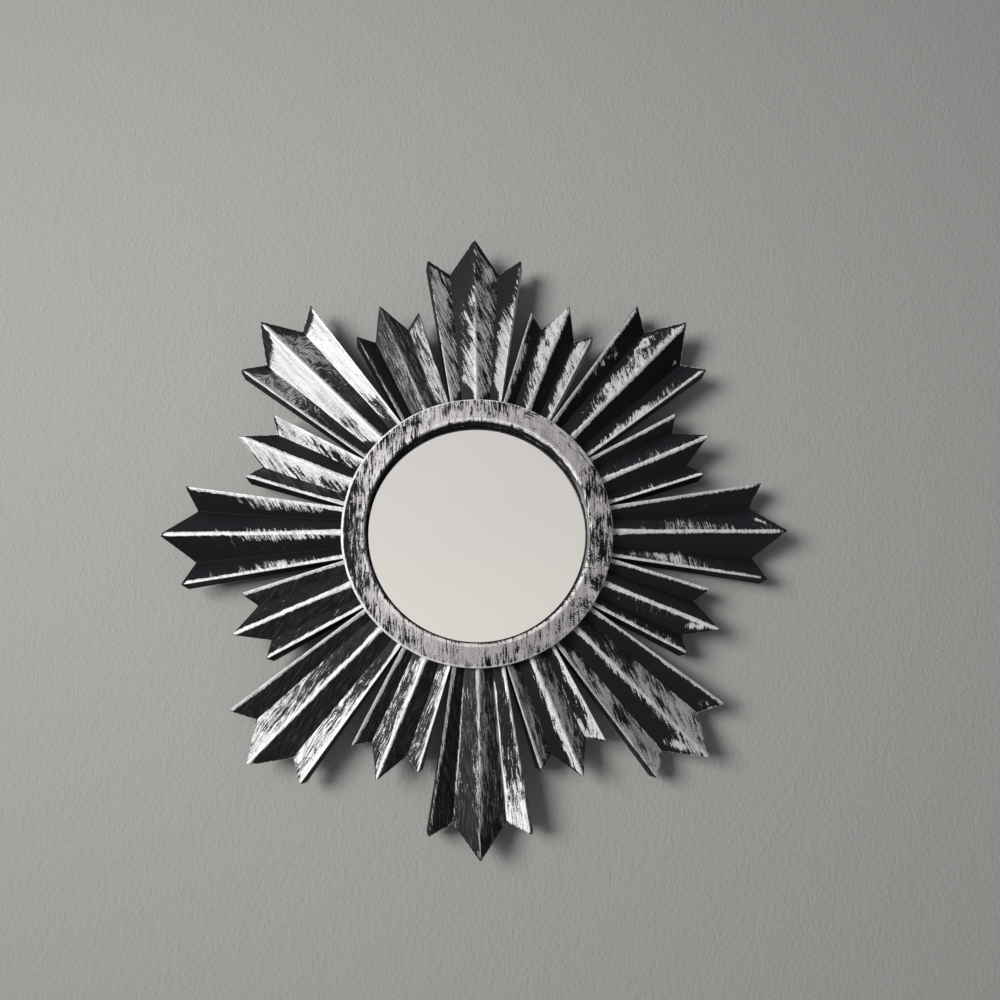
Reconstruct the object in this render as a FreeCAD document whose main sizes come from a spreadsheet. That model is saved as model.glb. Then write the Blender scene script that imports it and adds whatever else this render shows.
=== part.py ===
import FreeCAD, Part
import os
import re

import Sketcher

# A sun mirror for a wall. A round glass lies in a ring, and folded sheet rays stand out all round it.
# +Z is up, the front faces -Y and the wall is the plane y = 0, with the origin at the middle of the back.
# Heights and rises are measured away from the wall, towards -Y. All lengths are in millimetres.

# Each size has a name, a value and its meaning.
SIZES = {
    # back board
    "board_rim": (1.0, "width of the back board past the rays' floor tabs"),
    "board_thickness": (6.0, "thickness of the back board"),
    "board_chamfer": (0.8, "chamfer round the board's back edge"),
    # glass and the pad behind it
    "pad_margin": (0.5, "how far the pad behind the glass stays inside the glass"),
    "pad_thickness": (4.0, "thickness of the pad behind the glass"),
    "glass_radius": (46.0, "radius of the mirror glass"),
    "glass_thickness": (4.0, "thickness of the mirror glass"),
    "glass_clearance": (0.2, "gap between the glass and the ring"),
    # front ring
    "ring_cover": (3.0, "how far the ring covers the roots of the rays"),
    "lip_cover": (2.8, "how far the ring's lip covers the edge of the glass"),
    "mouth_flare": (1.0, "how much wider the ring's mouth is than its lip"),
    "collar_wall": (4.0, "wall of the ring's collar round the glass"),
    "flange_thickness": (3.0, "thickness of the ring's outer edge"),
    "land_rise": (0.8, "rise of the ring's face from its outer edge to its mouth"),
    "ring_edge_round": (1.2, "rounding of the ring's outer edge"),
    "ring_mouth_round": (1.4, "rounding of the ring's mouth"),
    # folded rays, common sizes
    "sheet": (1.0, "thickness of the ray sheet"),
    "seat_clearance": (0.3, "gap between the rays and the ring"),
    "neighbour_gap": (0.3, "gap between the roots of two rays"),
    "valley_share": (0.54, "place of a valley between the middle ridge and a side ridge"),
    "root_ridge_rise": (11.6, "rise of the middle ridge above the board, at the root"),
    "root_side_rise": (11.1, "rise of the side ridges above the board, at the root"),
    "root_valley_rise": (8.2, "rise of the valleys above the board, at the root"),
    "flank_lean": (1.1, "outward lean of a flank's foot at the side tip"),
    "flank_cut": (1.5, "how far a flank's foot ends short of the side tip"),
    "tab_length": (7.0, "length of the floor tab at a ray's root"),
    # long rays
    "long_tip_radius": (125.0, "radius of a long ray's middle tip"),
    "long_tip_rise": (9.0, "rise of a long ray's middle tip above the board"),
    "long_side_setback": (9.2, "how far a long ray's side tips stay behind its middle tip"),
    "long_side_half_width": (19.65, "distance of a long ray's side tips from its axis"),
    "long_side_rise": (8.3, "rise of a long ray's side tips above the board"),
    "long_notch_setback": (13.6, "how far a long ray's notches stay behind its middle tip"),
    "long_notch_rise": (3.0, "rise of a long ray's notches above the board"),
    # short rays
    "short_tip_radius": (102.85, "radius of a short ray's middle tip"),
    "short_tip_rise": (10.0, "rise of a short ray's middle tip above the board"),
    "short_side_setback": (8.65, "how far a short ray's side tips stay behind its middle tip"),
    "short_side_half_width": (13.8, "distance of a short ray's side tips from its axis"),
    "short_side_rise": (9.6, "rise of a short ray's side tips above the board"),
    "short_notch_setback": (12.77, "how far a short ray's notches stay behind its middle tip"),
    "short_notch_rise": (5.6, "rise of a short ray's notches above the board"),
    # screws
    "screw_radius": (1.0, "radius of a screw's shank"),
    "screw_point": (1.4, "length of a screw's point"),
    "screw_head_radius": (2.2, "radius of a screw's head"),
    "screw_head_height": (1.4, "height of a screw's head"),
    "screw_crown_share": (0.72, "flat crown of a screw's head, as a share of its radius"),
    "screw_rim_share": (0.45, "straight rim of a screw's head, as a share of its height"),
    "screw_slot_width": (0.7, "width of the slot in a screw's head"),
    "screw_slot_depth": (0.6, "depth of the slot in a screw's head"),
    "screw_clearance": (0.15, "gap round a screw's shank"),
    "head_clearance": (0.4, "gap round a screw's head"),
    "head_sink": (0.4, "how far a screw's head lies below the board's back"),
    "ray_screw_reach": (2.0, "how far a ray screw's point stands past the floor tab"),
    "ring_screw_hold": (6.0, "how deep a ring screw goes into the ring's collar"),
    "pilot_spare": (1.0, "depth of a ring pilot past the screw's point"),
    # keyhole hanger
    "hanger_height": (24.0, "height of the hanger plate's middle above the origin"),
    "hanger_length": (36.0, "length of the hanger plate"),
    "hanger_width": (16.0, "width of the hanger plate"),
    "hanger_thickness": (1.2, "thickness of the hanger plate"),
    "hanger_corner": (3.0, "rounding of the hanger plate's corners"),
    "hanger_clearance": (0.3, "gap between the hanger plate and its recess"),
    "keyhole_drop": (4.0, "distance of the keyhole's round hole below the plate's middle"),
    "keyhole_radius": (4.5, "radius of the keyhole's round hole"),
    "keyhole_slot_half_width": (2.0, "half the width of the keyhole's slot"),
    "keyhole_slot_length": (9.0, "distance from the round hole's centre to the centre of the slot's end"),
    "head_room_margin": (1.5, "room round the keyhole for the wall screw's head"),
    "hanger_screw_margin": (3.5, "distance of a hanger screw from the plate's end"),
    "hanger_screw_hold_share": (0.8, "depth of a hanger screw, as a share of the wood behind the plate"),
    # cutting
    "overrun": (2.0, "how far a cut runs past what it cuts"),
}

# The rays go round clockwise as seen from the front, starting at the top.
RAY_NAMES = (
    "long_ray_n", "short_ray_nne", "long_ray_ne", "short_ray_ene",
    "long_ray_e", "short_ray_ese", "long_ray_se", "short_ray_sse",
    "long_ray_s", "short_ray_ssw", "long_ray_sw", "short_ray_wsw",
    "long_ray_w", "short_ray_wnw", "long_ray_nw", "short_ray_nnw",
)
RAY_COUNT = len(RAY_NAMES)
RING_SCREW_COUNT = RAY_COUNT // 2
FULL_TURN = 360
RAY_TURN = FULL_TURN / RAY_COUNT
HALF_RAY_TURN = RAY_TURN / 2

# Places that several pieces share, written with the names of the sizes.
PAD_BACK = "board_thickness"
GLASS_BACK = f"({PAD_BACK} + pad_thickness)"
GLASS_FRONT = f"({GLASS_BACK} + glass_thickness)"
LIP_BACK = f"({GLASS_FRONT} + glass_clearance)"
LIP_RADIUS = "(glass_radius - lip_cover)"
MOUTH_RADIUS = f"({LIP_RADIUS} + mouth_flare)"
COLLAR_INNER = "(glass_radius + glass_clearance)"
COLLAR_OUTER = f"({COLLAR_INNER} + collar_wall)"
COLLAR_MIDDLE = f"({COLLAR_INNER} + collar_wall / 2)"
RAY_ROOT = f"({COLLAR_OUTER} + seat_clearance)"
RING_OUTER = f"({RAY_ROOT} + ring_cover)"
FLANGE_BACK = "(board_thickness + root_ridge_rise + seat_clearance)"
RING_EDGE = f"({FLANGE_BACK} + flange_thickness)"
RING_TOP = f"({RING_EDGE} + land_rise)"
ROOT_HALF_WIDTH = f"({RAY_ROOT} * tan({HALF_RAY_TURN}) - neighbour_gap / 2)"
TAB_END = f"({RAY_ROOT} + tab_length)"
BOARD_RADIUS = f"({TAB_END} + board_rim)"
SCREW_HOLE_RADIUS = "(screw_radius + screw_clearance)"
HEAD_HOLE_RADIUS = "(screw_head_radius + head_clearance)"
HEAD_RECESS = "(screw_head_height + head_sink)"
RAY_SCREW_PLACE = f"({RAY_ROOT} + tab_length / 2)"
RAY_SCREW_LENGTH = f"(board_thickness - {HEAD_RECESS} + sheet + ray_screw_reach)"
RING_SCREW_LENGTH = f"(board_thickness - {HEAD_RECESS} + ring_screw_hold)"
HANGER_BACK = HEAD_RECESS
HANGER_RECESS = f"({HANGER_BACK} + hanger_thickness)"
HANGER_SCREW_LENGTH = f"(hanger_thickness + (board_thickness - {HANGER_RECESS}) * hanger_screw_hold_share)"
HANGER_SCREW_SPACING = "(hanger_length - 2 * hanger_screw_margin)"
HANGER_SCREW_LOW = f"(hanger_height - {HANGER_SCREW_SPACING} / 2)"
HANGER_SCREW_HIGH = f"(hanger_height + {HANGER_SCREW_SPACING} / 2)"
KEYHOLE_HEIGHT = "(hanger_height - keyhole_drop)"
SLOT_TOP = f"({KEYHOLE_HEIGHT} + keyhole_slot_length)"

document = FreeCAD.newDocument("SunMirror")
sheet = document.addObject("Spreadsheet::Sheet", "Sizes")
for row, (alias, (number, meaning)) in enumerate(SIZES.items(), start=1):
    sheet.set(f"A{row}", meaning)
    sheet.set(f"B{row}", str(number))
    sheet.setAlias(f"B{row}", alias)
document.recompute()


def bound(text):
    """Turn a sum of size names into an expression on the sheet's cells."""
    return re.sub(r"[a-z_]+", lambda word: f"Sizes.{word[0]}" if word[0] in SIZES else word[0], text)


def value(text):
    """Work out a sum of size names from the sheet."""
    return float(sheet.evalExpression(bound(text)))


def origin_feature(body, role):
    """Find a plane or an axis of the body's own origin."""
    return next(feature for feature in body.Origin.OriginFeatures if feature.Role == role)


def new_body(label):
    """Start a piece with its own name."""
    body = document.addObject("PartDesign::Body", label)
    body.Label = label
    return body


def sketch_on(body, role, offset):
    """Make a sketch on an origin plane, moved along the plane's normal by a sum of size names."""
    sketch = body.newObject("Sketcher::SketchObject", "outline")
    sketch.AttachmentSupport = [(origin_feature(body, role), "")]
    sketch.MapMode = "FlatFace"
    sketch.setExpression("AttachmentOffset.Base.z", bound(offset))
    return sketch


def wall_sketch(body, height):
    """Make a sketch parallel to the wall: x runs along X, y along Z, and the normal points to the front."""
    return sketch_on(body, "XZ_Plane", height)


def bind_points(sketch, points):
    """Tie points of the sketch to sums of size names, measured from the sketch's origin.

    Each point is a piece of geometry, the place on it (1 start, 2 end, 3 centre), and its two sums.
    """
    ties = []
    for geometry, place, x_text, y_text in points:
        ties.append(("DistanceX", geometry, place, x_text))
        ties.append(("DistanceY", geometry, place, y_text))
    numbers = sketch.addConstraint([
        Sketcher.Constraint(kind, -1, 1, geometry, place, value(text))
        for kind, geometry, place, text in ties
    ])
    for number, (_, _, _, text) in zip(numbers, ties):
        sketch.setExpression(f"Constraints[{number}]", bound(text))


def add_outline(sketch, corners):
    """Draw a closed outline through corners given as pairs of sums of size names."""
    points = [FreeCAD.Vector(value(x_text), value(y_text), 0) for x_text, y_text in corners]
    following = points[1:] + points[:1]
    lines = sketch.addGeometry([Part.LineSegment(*ends) for ends in zip(points, following)])
    pairs = zip(lines, lines[1:] + lines[:1])
    sketch.addConstraint([Sketcher.Constraint("Coincident", line, 2, after, 1) for line, after in pairs])
    bind_points(sketch, [(line, 1, *corner) for line, corner in zip(lines, corners)])


def add_axis(sketch, start, end):
    """Draw a centre line between two bound points."""
    ends = [FreeCAD.Vector(value(x_text), value(y_text), 0) for x_text, y_text in (start, end)]
    line = sketch.addGeometry(Part.LineSegment(*ends), True)
    bind_points(sketch, [(line, 1, *start), (line, 2, *end)])


def add_box(sketch, half_width, bottom, top):
    """Draw a rectangle that is symmetric about the sketch's upright axis."""
    left = f"-({half_width})"
    add_outline(sketch, [(left, bottom), (half_width, bottom), (half_width, top), (left, top)])


def add_circle(sketch, x_text, y_text, radius):
    """Draw a circle about a bound centre."""
    centre = FreeCAD.Vector(value(x_text), value(y_text), 0)
    circle = sketch.addGeometry(Part.Circle(centre, FreeCAD.Vector(0, 0, 1), value(radius)))
    bind_points(sketch, [(circle, 3, x_text, y_text)])
    place = sketch.addConstraint(Sketcher.Constraint("Radius", circle, value(radius)))
    sketch.setExpression(f"Constraints[{place}]", bound(radius))


def pad_forward(body, sketch, length):
    """Raise the sketch towards the front."""
    pad = body.newObject("PartDesign::Pad", "pad")
    pad.Profile = sketch
    pad.setExpression("Length", bound(length))
    return pad


def pocket_forward(body, sketch, length):
    """Cut the sketch towards the front."""
    pocket = body.newObject("PartDesign::Pocket", "pocket")
    pocket.Profile = sketch
    pocket.Reversed = True
    pocket.setExpression("Length", bound(length))
    return pocket


def pocket_through(body, sketch):
    """Cut the sketch through everything, both ways."""
    pocket = body.newObject("PartDesign::Pocket", "pocket")
    pocket.Profile = sketch
    pocket.Type = "ThroughAll"
    pocket.SideType = "Symmetric"
    return pocket


def revolve(body, sketch, axis):
    """Turn the sketch all the way round an axis of its own."""
    revolution = body.newObject("PartDesign::Revolution", "revolution")
    revolution.Profile = sketch
    revolution.ReferenceAxis = (sketch, [axis])
    revolution.Angle = FULL_TURN
    return revolution


def repeat_round(body, features, count):
    """Repeat features round the mirror's middle axis; with no features, repeat the whole piece."""
    pattern = body.newObject("PartDesign::PolarPattern", "pattern")
    if features:
        pattern.Originals = features
    else:
        pattern.TransformMode = "Whole shape"
    pattern.Axis = (origin_feature(body, "Y_Axis"), [""])
    pattern.Angle = FULL_TURN
    pattern.Occurrences = count
    body.Tip = pattern


def dress_edges(body, kind, size_property, size, edge_names):
    """Round or chamfer edges of the piece as it is so far."""
    plain = body.Tip
    dressing = body.newObject(kind, "edge")
    dressing.Base = (plain, edge_names)
    dressing.setExpression(size_property, bound(size))


def rim_names(shape, radius, height):
    """Name the round edges of a turned shape that lie at a radius and a height."""
    return [
        f"Edge{place}"
        for place, edge in enumerate(shape.Edges, start=1)
        if isinstance(edge.Curve, Part.Circle)
        and abs(edge.Curve.Radius - value(radius)) < Part.Precision.confusion()
        and abs(edge.Curve.Center.y + value(height)) < Part.Precision.confusion()
    ]


def on_crease(root, tip, tip_place, place):
    """Follow a straight crease from a ray's root through its tip, to any place along the ray."""
    return f"({root} + (({tip}) - {root}) * ({place} - {RAY_ROOT}) / ({tip_place} - {RAY_ROOT}))"


def side_place(kind):
    """Give the place of the side tips along a ray."""
    return f"({kind}_tip_radius - {kind}_side_setback)"


def notch_place(kind):
    """Give the place of the notches along a ray."""
    return f"({kind}_tip_radius - {kind}_notch_setback)"


def fold_section(kind, place):
    """Give the corners of the folded sheet across a ray, at a place along it.

    The outer line goes from one foot over side ridge, valley, middle ridge, valley and side ridge to the
    other foot. The inner line is one sheet deeper.
    """
    side = on_crease(ROOT_HALF_WIDTH, f"{kind}_side_half_width", side_place(kind), place)
    foot = on_crease(ROOT_HALF_WIDTH, f"{kind}_side_half_width + flank_lean", side_place(kind), place)
    side_rise = on_crease("root_side_rise", f"{kind}_side_rise", side_place(kind), place)
    ridge_rise = on_crease("root_ridge_rise", f"{kind}_tip_rise", f"{kind}_tip_radius", place)
    valley_rise = on_crease("root_valley_rise", f"{kind}_notch_rise", notch_place(kind), place)
    valley = f"({side} * valley_share)"
    facet_slope = f"(({side_rise} - {valley_rise}) / ({side} - {valley}))"
    outer = [(foot, "0"), (side, side_rise), (valley, valley_rise)]
    inner = [
        (f"({foot} - sheet)", "0"),
        (f"({side} - sheet)", f"({side_rise} - sheet - sheet * {facet_slope})"),
        (valley, f"({valley_rise} - sheet)"),
    ]
    half_round = [*outer, ("0", ridge_rise)]
    other_half = [(f"-{x_text}", rise) for x_text, rise in reversed(outer)]
    half_back = [(f"-{x_text}", rise) for x_text, rise in inner]
    last_half = [("0", f"({ridge_rise} - sheet)"), *reversed(inner)]
    line = half_round + other_half + half_back + last_half
    return [(x_text, f"-(board_thickness + {rise})") for x_text, rise in line]


def zigzag_cut(kind):
    """Give the outline of what is cut off a ray's end: middle tip, notches, side tips and slanted flanks."""
    tip_place = f"{kind}_tip_radius"
    side = f"{kind}_side_half_width"
    notch = f"({on_crease(ROOT_HALF_WIDTH, side, side_place(kind), notch_place(kind))} * valley_share)"
    reach = "(flank_lean + overrun)"
    outside = f"({side} + {reach})"
    slant_end = f"({side_place(kind)} - flank_cut * {reach} / flank_lean)"
    beyond = f"({tip_place} + 2 * overrun)"
    right = [(outside, beyond), (outside, slant_end), (side, side_place(kind)), (notch, notch_place(kind))]
    left = [(f"-{x_text}", y_text) for x_text, y_text in reversed(right)]
    return [*right, ("0", tip_place), *left]


def make_ray(label, turn):
    """Make a ray: a folded sheet with a zig-zag end, and a floor tab at its root with a screw hole."""
    kind = label.split("_")[0]
    body = new_body(label)
    root_section = sketch_on(body, "XY_Plane", RAY_ROOT)
    add_outline(root_section, fold_section(kind, RAY_ROOT))
    end_place = f"({kind}_tip_radius + overrun)"
    end_section = sketch_on(body, "XY_Plane", end_place)
    add_outline(end_section, fold_section(kind, end_place))
    fold = body.newObject("PartDesign::AdditiveLoft", "fold")
    fold.Profile = root_section
    fold.Sections = [end_section]
    fold.Ruled = True

    tab_root = f"({ROOT_HALF_WIDTH} - sheet / 2)"
    foot_tip = f"{kind}_side_half_width + flank_lean"
    tab_wide = f"({on_crease(ROOT_HALF_WIDTH, foot_tip, side_place(kind), TAB_END)} - sheet / 2)"
    tab = wall_sketch(body, "board_thickness")
    corners = [(tab_root, RAY_ROOT), (tab_wide, TAB_END)]
    add_outline(tab, corners + [(f"-{x_text}", y_text) for x_text, y_text in reversed(corners)])
    add_circle(tab, "0", RAY_SCREW_PLACE, SCREW_HOLE_RADIUS)
    pad_forward(body, tab, "sheet")

    end_cut = wall_sketch(body, "0")
    add_outline(end_cut, zigzag_cut(kind))
    pocket_through(body, end_cut)
    body.Placement = FreeCAD.Placement(FreeCAD.Vector(), FreeCAD.Rotation(FreeCAD.Vector(0, 1, 0), turn))
    return body


def between_rays(radius):
    """Place a point at a radius, halfway between the top ray and the next."""
    return f"({radius} * sin({HALF_RAY_TURN}))", f"({radius} * cos({HALF_RAY_TURN}))"


def make_ring():
    """Make the front ring: a turned ring with a lip over the glass, a collar round it and screw pilots."""
    body = new_body("front_ring")
    profile = sketch_on(body, "XY_Plane", "0")
    corners = [
        (LIP_RADIUS, LIP_BACK), (MOUTH_RADIUS, RING_TOP), (RING_OUTER, RING_EDGE),
        (RING_OUTER, FLANGE_BACK), (COLLAR_OUTER, FLANGE_BACK), (COLLAR_OUTER, "board_thickness"),
        (COLLAR_INNER, "board_thickness"), (COLLAR_INNER, LIP_BACK),
    ]
    add_outline(profile, [(radius, f"-{height}") for radius, height in corners])
    turned = revolve(body, profile, "V_Axis")
    document.recompute()
    edge_names = rim_names(turned.Shape, RING_OUTER, RING_EDGE)
    dress_edges(body, "PartDesign::Fillet", "Radius", "ring_edge_round", edge_names)
    document.recompute()
    mouth_names = rim_names(body.Tip.Shape, MOUTH_RADIUS, RING_TOP)
    dress_edges(body, "PartDesign::Fillet", "Radius", "ring_mouth_round", mouth_names)
    pilot = wall_sketch(body, "board_thickness")
    add_circle(pilot, *between_rays(COLLAR_MIDDLE), SCREW_HOLE_RADIUS)
    repeat_round(body, [pocket_forward(body, pilot, "ring_screw_hold + pilot_spare")], RING_SCREW_COUNT)
    return body


def make_disc(label, radius, thickness, back):
    """Make a plain round disc that lies parallel to the wall."""
    disc = document.addObject("Part::Cylinder", label)
    disc.Label = label
    quarter_turn = FreeCAD.Rotation(FreeCAD.Vector(0, 0, 1), FreeCAD.Vector(0, -1, 0))
    disc.Placement = FreeCAD.Placement(FreeCAD.Vector(), quarter_turn)
    disc.setExpression("Radius", bound(radius))
    disc.setExpression("Height", bound(thickness))
    disc.setExpression("Placement.Base.y", bound(f"-{back}"))
    return disc


def make_board():
    """Make the back board, with recessed screw holes and the hanger's recess and head room."""
    body = new_body("back_board")
    face = wall_sketch(body, "0")
    add_circle(face, "0", "0", BOARD_RADIUS)
    disc = pad_forward(body, face, "board_thickness")
    document.recompute()
    edge_names = rim_names(disc.Shape, BOARD_RADIUS, "0")
    dress_edges(body, "PartDesign::Chamfer", "Size", "board_chamfer", edge_names)

    screw_places = ((("0", RAY_SCREW_PLACE), RAY_COUNT), (between_rays(COLLAR_MIDDLE), RING_SCREW_COUNT))
    for place, count in screw_places:
        hole = wall_sketch(body, "0")
        add_circle(hole, *place, SCREW_HOLE_RADIUS)
        recess = wall_sketch(body, "0")
        add_circle(recess, *place, HEAD_HOLE_RADIUS)
        hole_cut = pocket_through(body, hole)
        recess_cut = pocket_forward(body, recess, HEAD_RECESS)
        repeat_round(body, [hole_cut, recess_cut], count)

    half_length = "(hanger_length / 2 + hanger_clearance)"
    recess = wall_sketch(body, "0")
    recess_ends = (f"(hanger_height - {half_length})", f"(hanger_height + {half_length})")
    add_box(recess, "(hanger_width / 2 + hanger_clearance)", *recess_ends)
    pocket_forward(body, recess, HANGER_RECESS)
    head_room = wall_sketch(body, "0")
    reach = "(keyhole_radius + head_room_margin)"
    add_box(head_room, reach, f"({KEYHOLE_HEIGHT} - {reach})", f"({SLOT_TOP} + {reach})")
    pocket_through(body, head_room)
    pilots = wall_sketch(body, "0")
    for height in (HANGER_SCREW_LOW, HANGER_SCREW_HIGH):
        add_circle(pilots, "0", height, SCREW_HOLE_RADIUS)
    pocket_through(body, pilots)
    return body


def make_hanger():
    """Make the keyhole hanger plate: a round hole that narrows upwards into a slot, and two screw holes."""
    body = new_body("hanger_plate")
    face = wall_sketch(body, HANGER_BACK)
    plate_ends = ("(hanger_height - hanger_length / 2)", "(hanger_height + hanger_length / 2)")
    add_box(face, "(hanger_width / 2)", *plate_ends)
    plate = pad_forward(body, face, "hanger_thickness")
    document.recompute()
    corner_names = [
        f"Edge{place}"
        for place, edge in enumerate(plate.Shape.Edges, start=1)
        if edge.BoundBox.YLength > Part.Precision.confusion()
    ]
    dress_edges(body, "PartDesign::Fillet", "Radius", "hanger_corner", corner_names)
    round_hole = wall_sketch(body, "0")
    add_circle(round_hole, "0", KEYHOLE_HEIGHT, "keyhole_radius")
    pocket_through(body, round_hole)
    slot = wall_sketch(body, "0")
    add_box(slot, "keyhole_slot_half_width", KEYHOLE_HEIGHT, SLOT_TOP)
    pocket_through(body, slot)
    holes = wall_sketch(body, "0")
    add_circle(holes, "0", SLOT_TOP, "keyhole_slot_half_width")
    for height in (HANGER_SCREW_LOW, HANGER_SCREW_HIGH):
        add_circle(holes, "0", height, SCREW_HOLE_RADIUS)
    pocket_through(body, holes)
    return body


def make_screw(label, across, up, seat, length):
    """Make one pan head screw square to the wall, with its head's underside at the seat's height."""
    body = new_body(label)
    profile = sketch_on(body, "YZ_Plane", across)
    crown = f"({seat} - screw_head_height)"
    rim = f"({seat} - screw_head_height * screw_rim_share)"
    point = f"({seat} + {length})"
    shoulder = f"({point} - screw_point)"
    corners = [
        (crown, "0"), (crown, "screw_head_radius * screw_crown_share"), (rim, "screw_head_radius"),
        (seat, "screw_head_radius"), (seat, "screw_radius"), (shoulder, "screw_radius"), (point, "0"),
    ]
    add_outline(profile, [(f"-{height}", f"({up} + {radius})") for height, radius in corners])
    add_axis(profile, (f"-{crown}", up), (f"-{point}", up))
    revolve(body, profile, "Axis0")
    slot = wall_sketch(body, crown)
    sides = [f"({across} {sign} screw_slot_width / 2)" for sign in "+-"]
    tops = [f"({up} {sign} screw_head_radius)" for sign in "+-"]
    add_outline(slot, [(sides[0], tops[0]), (sides[1], tops[0]), (sides[1], tops[1]), (sides[0], tops[1])])
    pocket_forward(body, slot, "screw_slot_depth")
    document.recompute()
    return body


def make_round_of_screws(label, place, length, count):
    """Make the screws of one ring of holes in the board."""
    body = make_screw(label, *place, HEAD_RECESS, length)
    repeat_round(body, [], count)
    return body


def make_hanger_screws():
    """Make the two screws that hold the hanger plate."""
    body = make_screw("hanger_screws", "0", HANGER_SCREW_LOW, HANGER_BACK, HANGER_SCREW_LENGTH)
    pattern = body.newObject("PartDesign::LinearPattern", "pattern")
    pattern.TransformMode = "Whole shape"
    pattern.Direction = (origin_feature(body, "Z_Axis"), [""])
    pattern.setExpression("Length", bound(HANGER_SCREW_SPACING))
    pattern.Occurrences = 2
    body.Tip = pattern
    return body


def check(pieces):
    """Stop if anything failed, a cut cut nothing, or a piece has no valid shape."""
    for feature in document.Objects:
        if {"Invalid", "Error"} & set(feature.State):
            raise RuntimeError(f"{feature.Label} failed: {feature.State}")
    for pocket in document.findObjects("PartDesign::Pocket"):
        if pocket.Shape.Volume >= pocket.BaseFeature.Shape.Volume:
            raise RuntimeError(f"{pocket.Label} cuts nothing")
    for piece in pieces:
        if piece.Shape.isNull() or not piece.Shape.isValid():
            raise RuntimeError(f"{piece.Label} has no valid shape")


pieces = [make_ray(label, place * RAY_TURN) for place, label in enumerate(RAY_NAMES)]
pieces.append(make_ring())
pieces.append(make_disc("mirror_glass", "glass_radius", "glass_thickness", GLASS_BACK))
pieces.append(make_disc("glass_pad", "(glass_radius - pad_margin)", "pad_thickness", PAD_BACK))
pieces.append(make_board())
pieces.append(make_round_of_screws("ray_screws", ("0", RAY_SCREW_PLACE), RAY_SCREW_LENGTH, RAY_COUNT))
ring_screw_place = between_rays(COLLAR_MIDDLE)
pieces.append(make_round_of_screws("ring_screws", ring_screw_place, RING_SCREW_LENGTH, RING_SCREW_COUNT))
pieces.append(make_hanger())
pieces.append(make_hanger_screws())
document.recompute()
check(pieces)

os.makedirs("parts", exist_ok=True)
for piece in pieces:
    piece.Shape.exportStep(f"parts/{piece.Label}.step")
    solids = len(piece.Shape.Solids)
    print(f"{piece.Label}: {solids} solid(s), {piece.Shape.Volume:.1f} mm3")
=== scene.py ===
"""Dress a sun mirror: a round glass in a brushed ring, with folded and dry-brushed rays all round it."""

import logging
import math
from dataclasses import dataclass, field
from enum import Enum
from typing import Any, Sequence, Union

import bpy
import numpy as np
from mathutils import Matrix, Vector


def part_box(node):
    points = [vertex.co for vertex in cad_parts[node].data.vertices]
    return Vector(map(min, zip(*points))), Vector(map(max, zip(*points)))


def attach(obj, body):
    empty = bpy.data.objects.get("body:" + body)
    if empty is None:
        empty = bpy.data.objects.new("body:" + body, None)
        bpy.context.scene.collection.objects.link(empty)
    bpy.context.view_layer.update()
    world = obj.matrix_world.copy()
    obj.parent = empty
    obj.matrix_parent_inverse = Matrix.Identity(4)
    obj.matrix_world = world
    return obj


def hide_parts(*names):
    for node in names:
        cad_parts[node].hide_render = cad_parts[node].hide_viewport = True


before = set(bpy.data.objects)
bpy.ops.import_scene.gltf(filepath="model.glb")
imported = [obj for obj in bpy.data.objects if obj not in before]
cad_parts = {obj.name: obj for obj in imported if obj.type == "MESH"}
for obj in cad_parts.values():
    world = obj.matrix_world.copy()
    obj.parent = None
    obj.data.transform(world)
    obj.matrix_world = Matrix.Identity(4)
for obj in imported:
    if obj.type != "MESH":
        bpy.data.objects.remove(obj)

LOG = logging.getLogger("sun_mirror")
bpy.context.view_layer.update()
BODY = "root"
MILLIMETRE = 0.001

Socket = bpy.types.NodeSocket
Feed = Union[Socket, float, Sequence[float]]
Colour = tuple[float, float, float, float]
Triple = tuple[float, float, float]
Span = tuple[float, float]
Face = tuple[int, ...]
Numbers = Union[float, np.ndarray]

# Between these values lies most of a noise.
NOISE_SPAN: Span = (0.3, 0.7)

# A ray's creases are counted from foot to foot, and its stretches from flank to flank.
STRETCHES = 6
FLANKS = (0, 5)
FALLING_FACETS = (1, 3)
RIDGES = [1, 3, 5]
VALLEYS = (2, 4)


def smooth_step(low: Numbers, high: Numbers, value: np.ndarray) -> np.ndarray:
    """Rise smoothly from 0 at low to 1 at high.

    Args:
        low: The value that gives 0.
        high: The value that gives 1, above or below low.
        value: The values to map.

    Returns:
        The shares, from 0 to 1.
    """
    share = np.clip((value - low) / (high - low), 0.0, 1.0)
    return share * share * (3.0 - 2.0 * share)


def bend(start: np.ndarray, corner: np.ndarray, end: np.ndarray, share: Numbers) -> np.ndarray:
    """Give the point at a share of the way round a corner, from a start before it to an end after it."""
    return (1 - share) ** 2 * start + 2 * share * (1 - share) * corner + share ** 2 * end


def round_corner(
    start: Sequence[float], corner: Sequence[float], end: Sequence[float], steps: int = 8,
) -> list[tuple[float, np.ndarray]]:
    """Round a corner from a point before it to a point after it.

    Args:
        start: The point before the corner.
        corner: The corner.
        end: The point after the corner.
        steps: The number of points.

    Returns:
        For each point, its share of the way round and its place.
    """
    places = [np.array(point) for point in (start, corner, end)]
    return [(float(share), bend(*places, share)) for share in np.linspace(0.0, 1.0, steps)]


def add_object(name: str, data: bpy.types.ID) -> bpy.types.Object:
    """Add an object to the scene.

    Args:
        name: The object's name.
        data: Its mesh, lamp or camera.

    Returns:
        The new object.
    """
    made = bpy.data.objects.new(name, data)
    bpy.context.scene.collection.objects.link(made)
    return made


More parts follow.
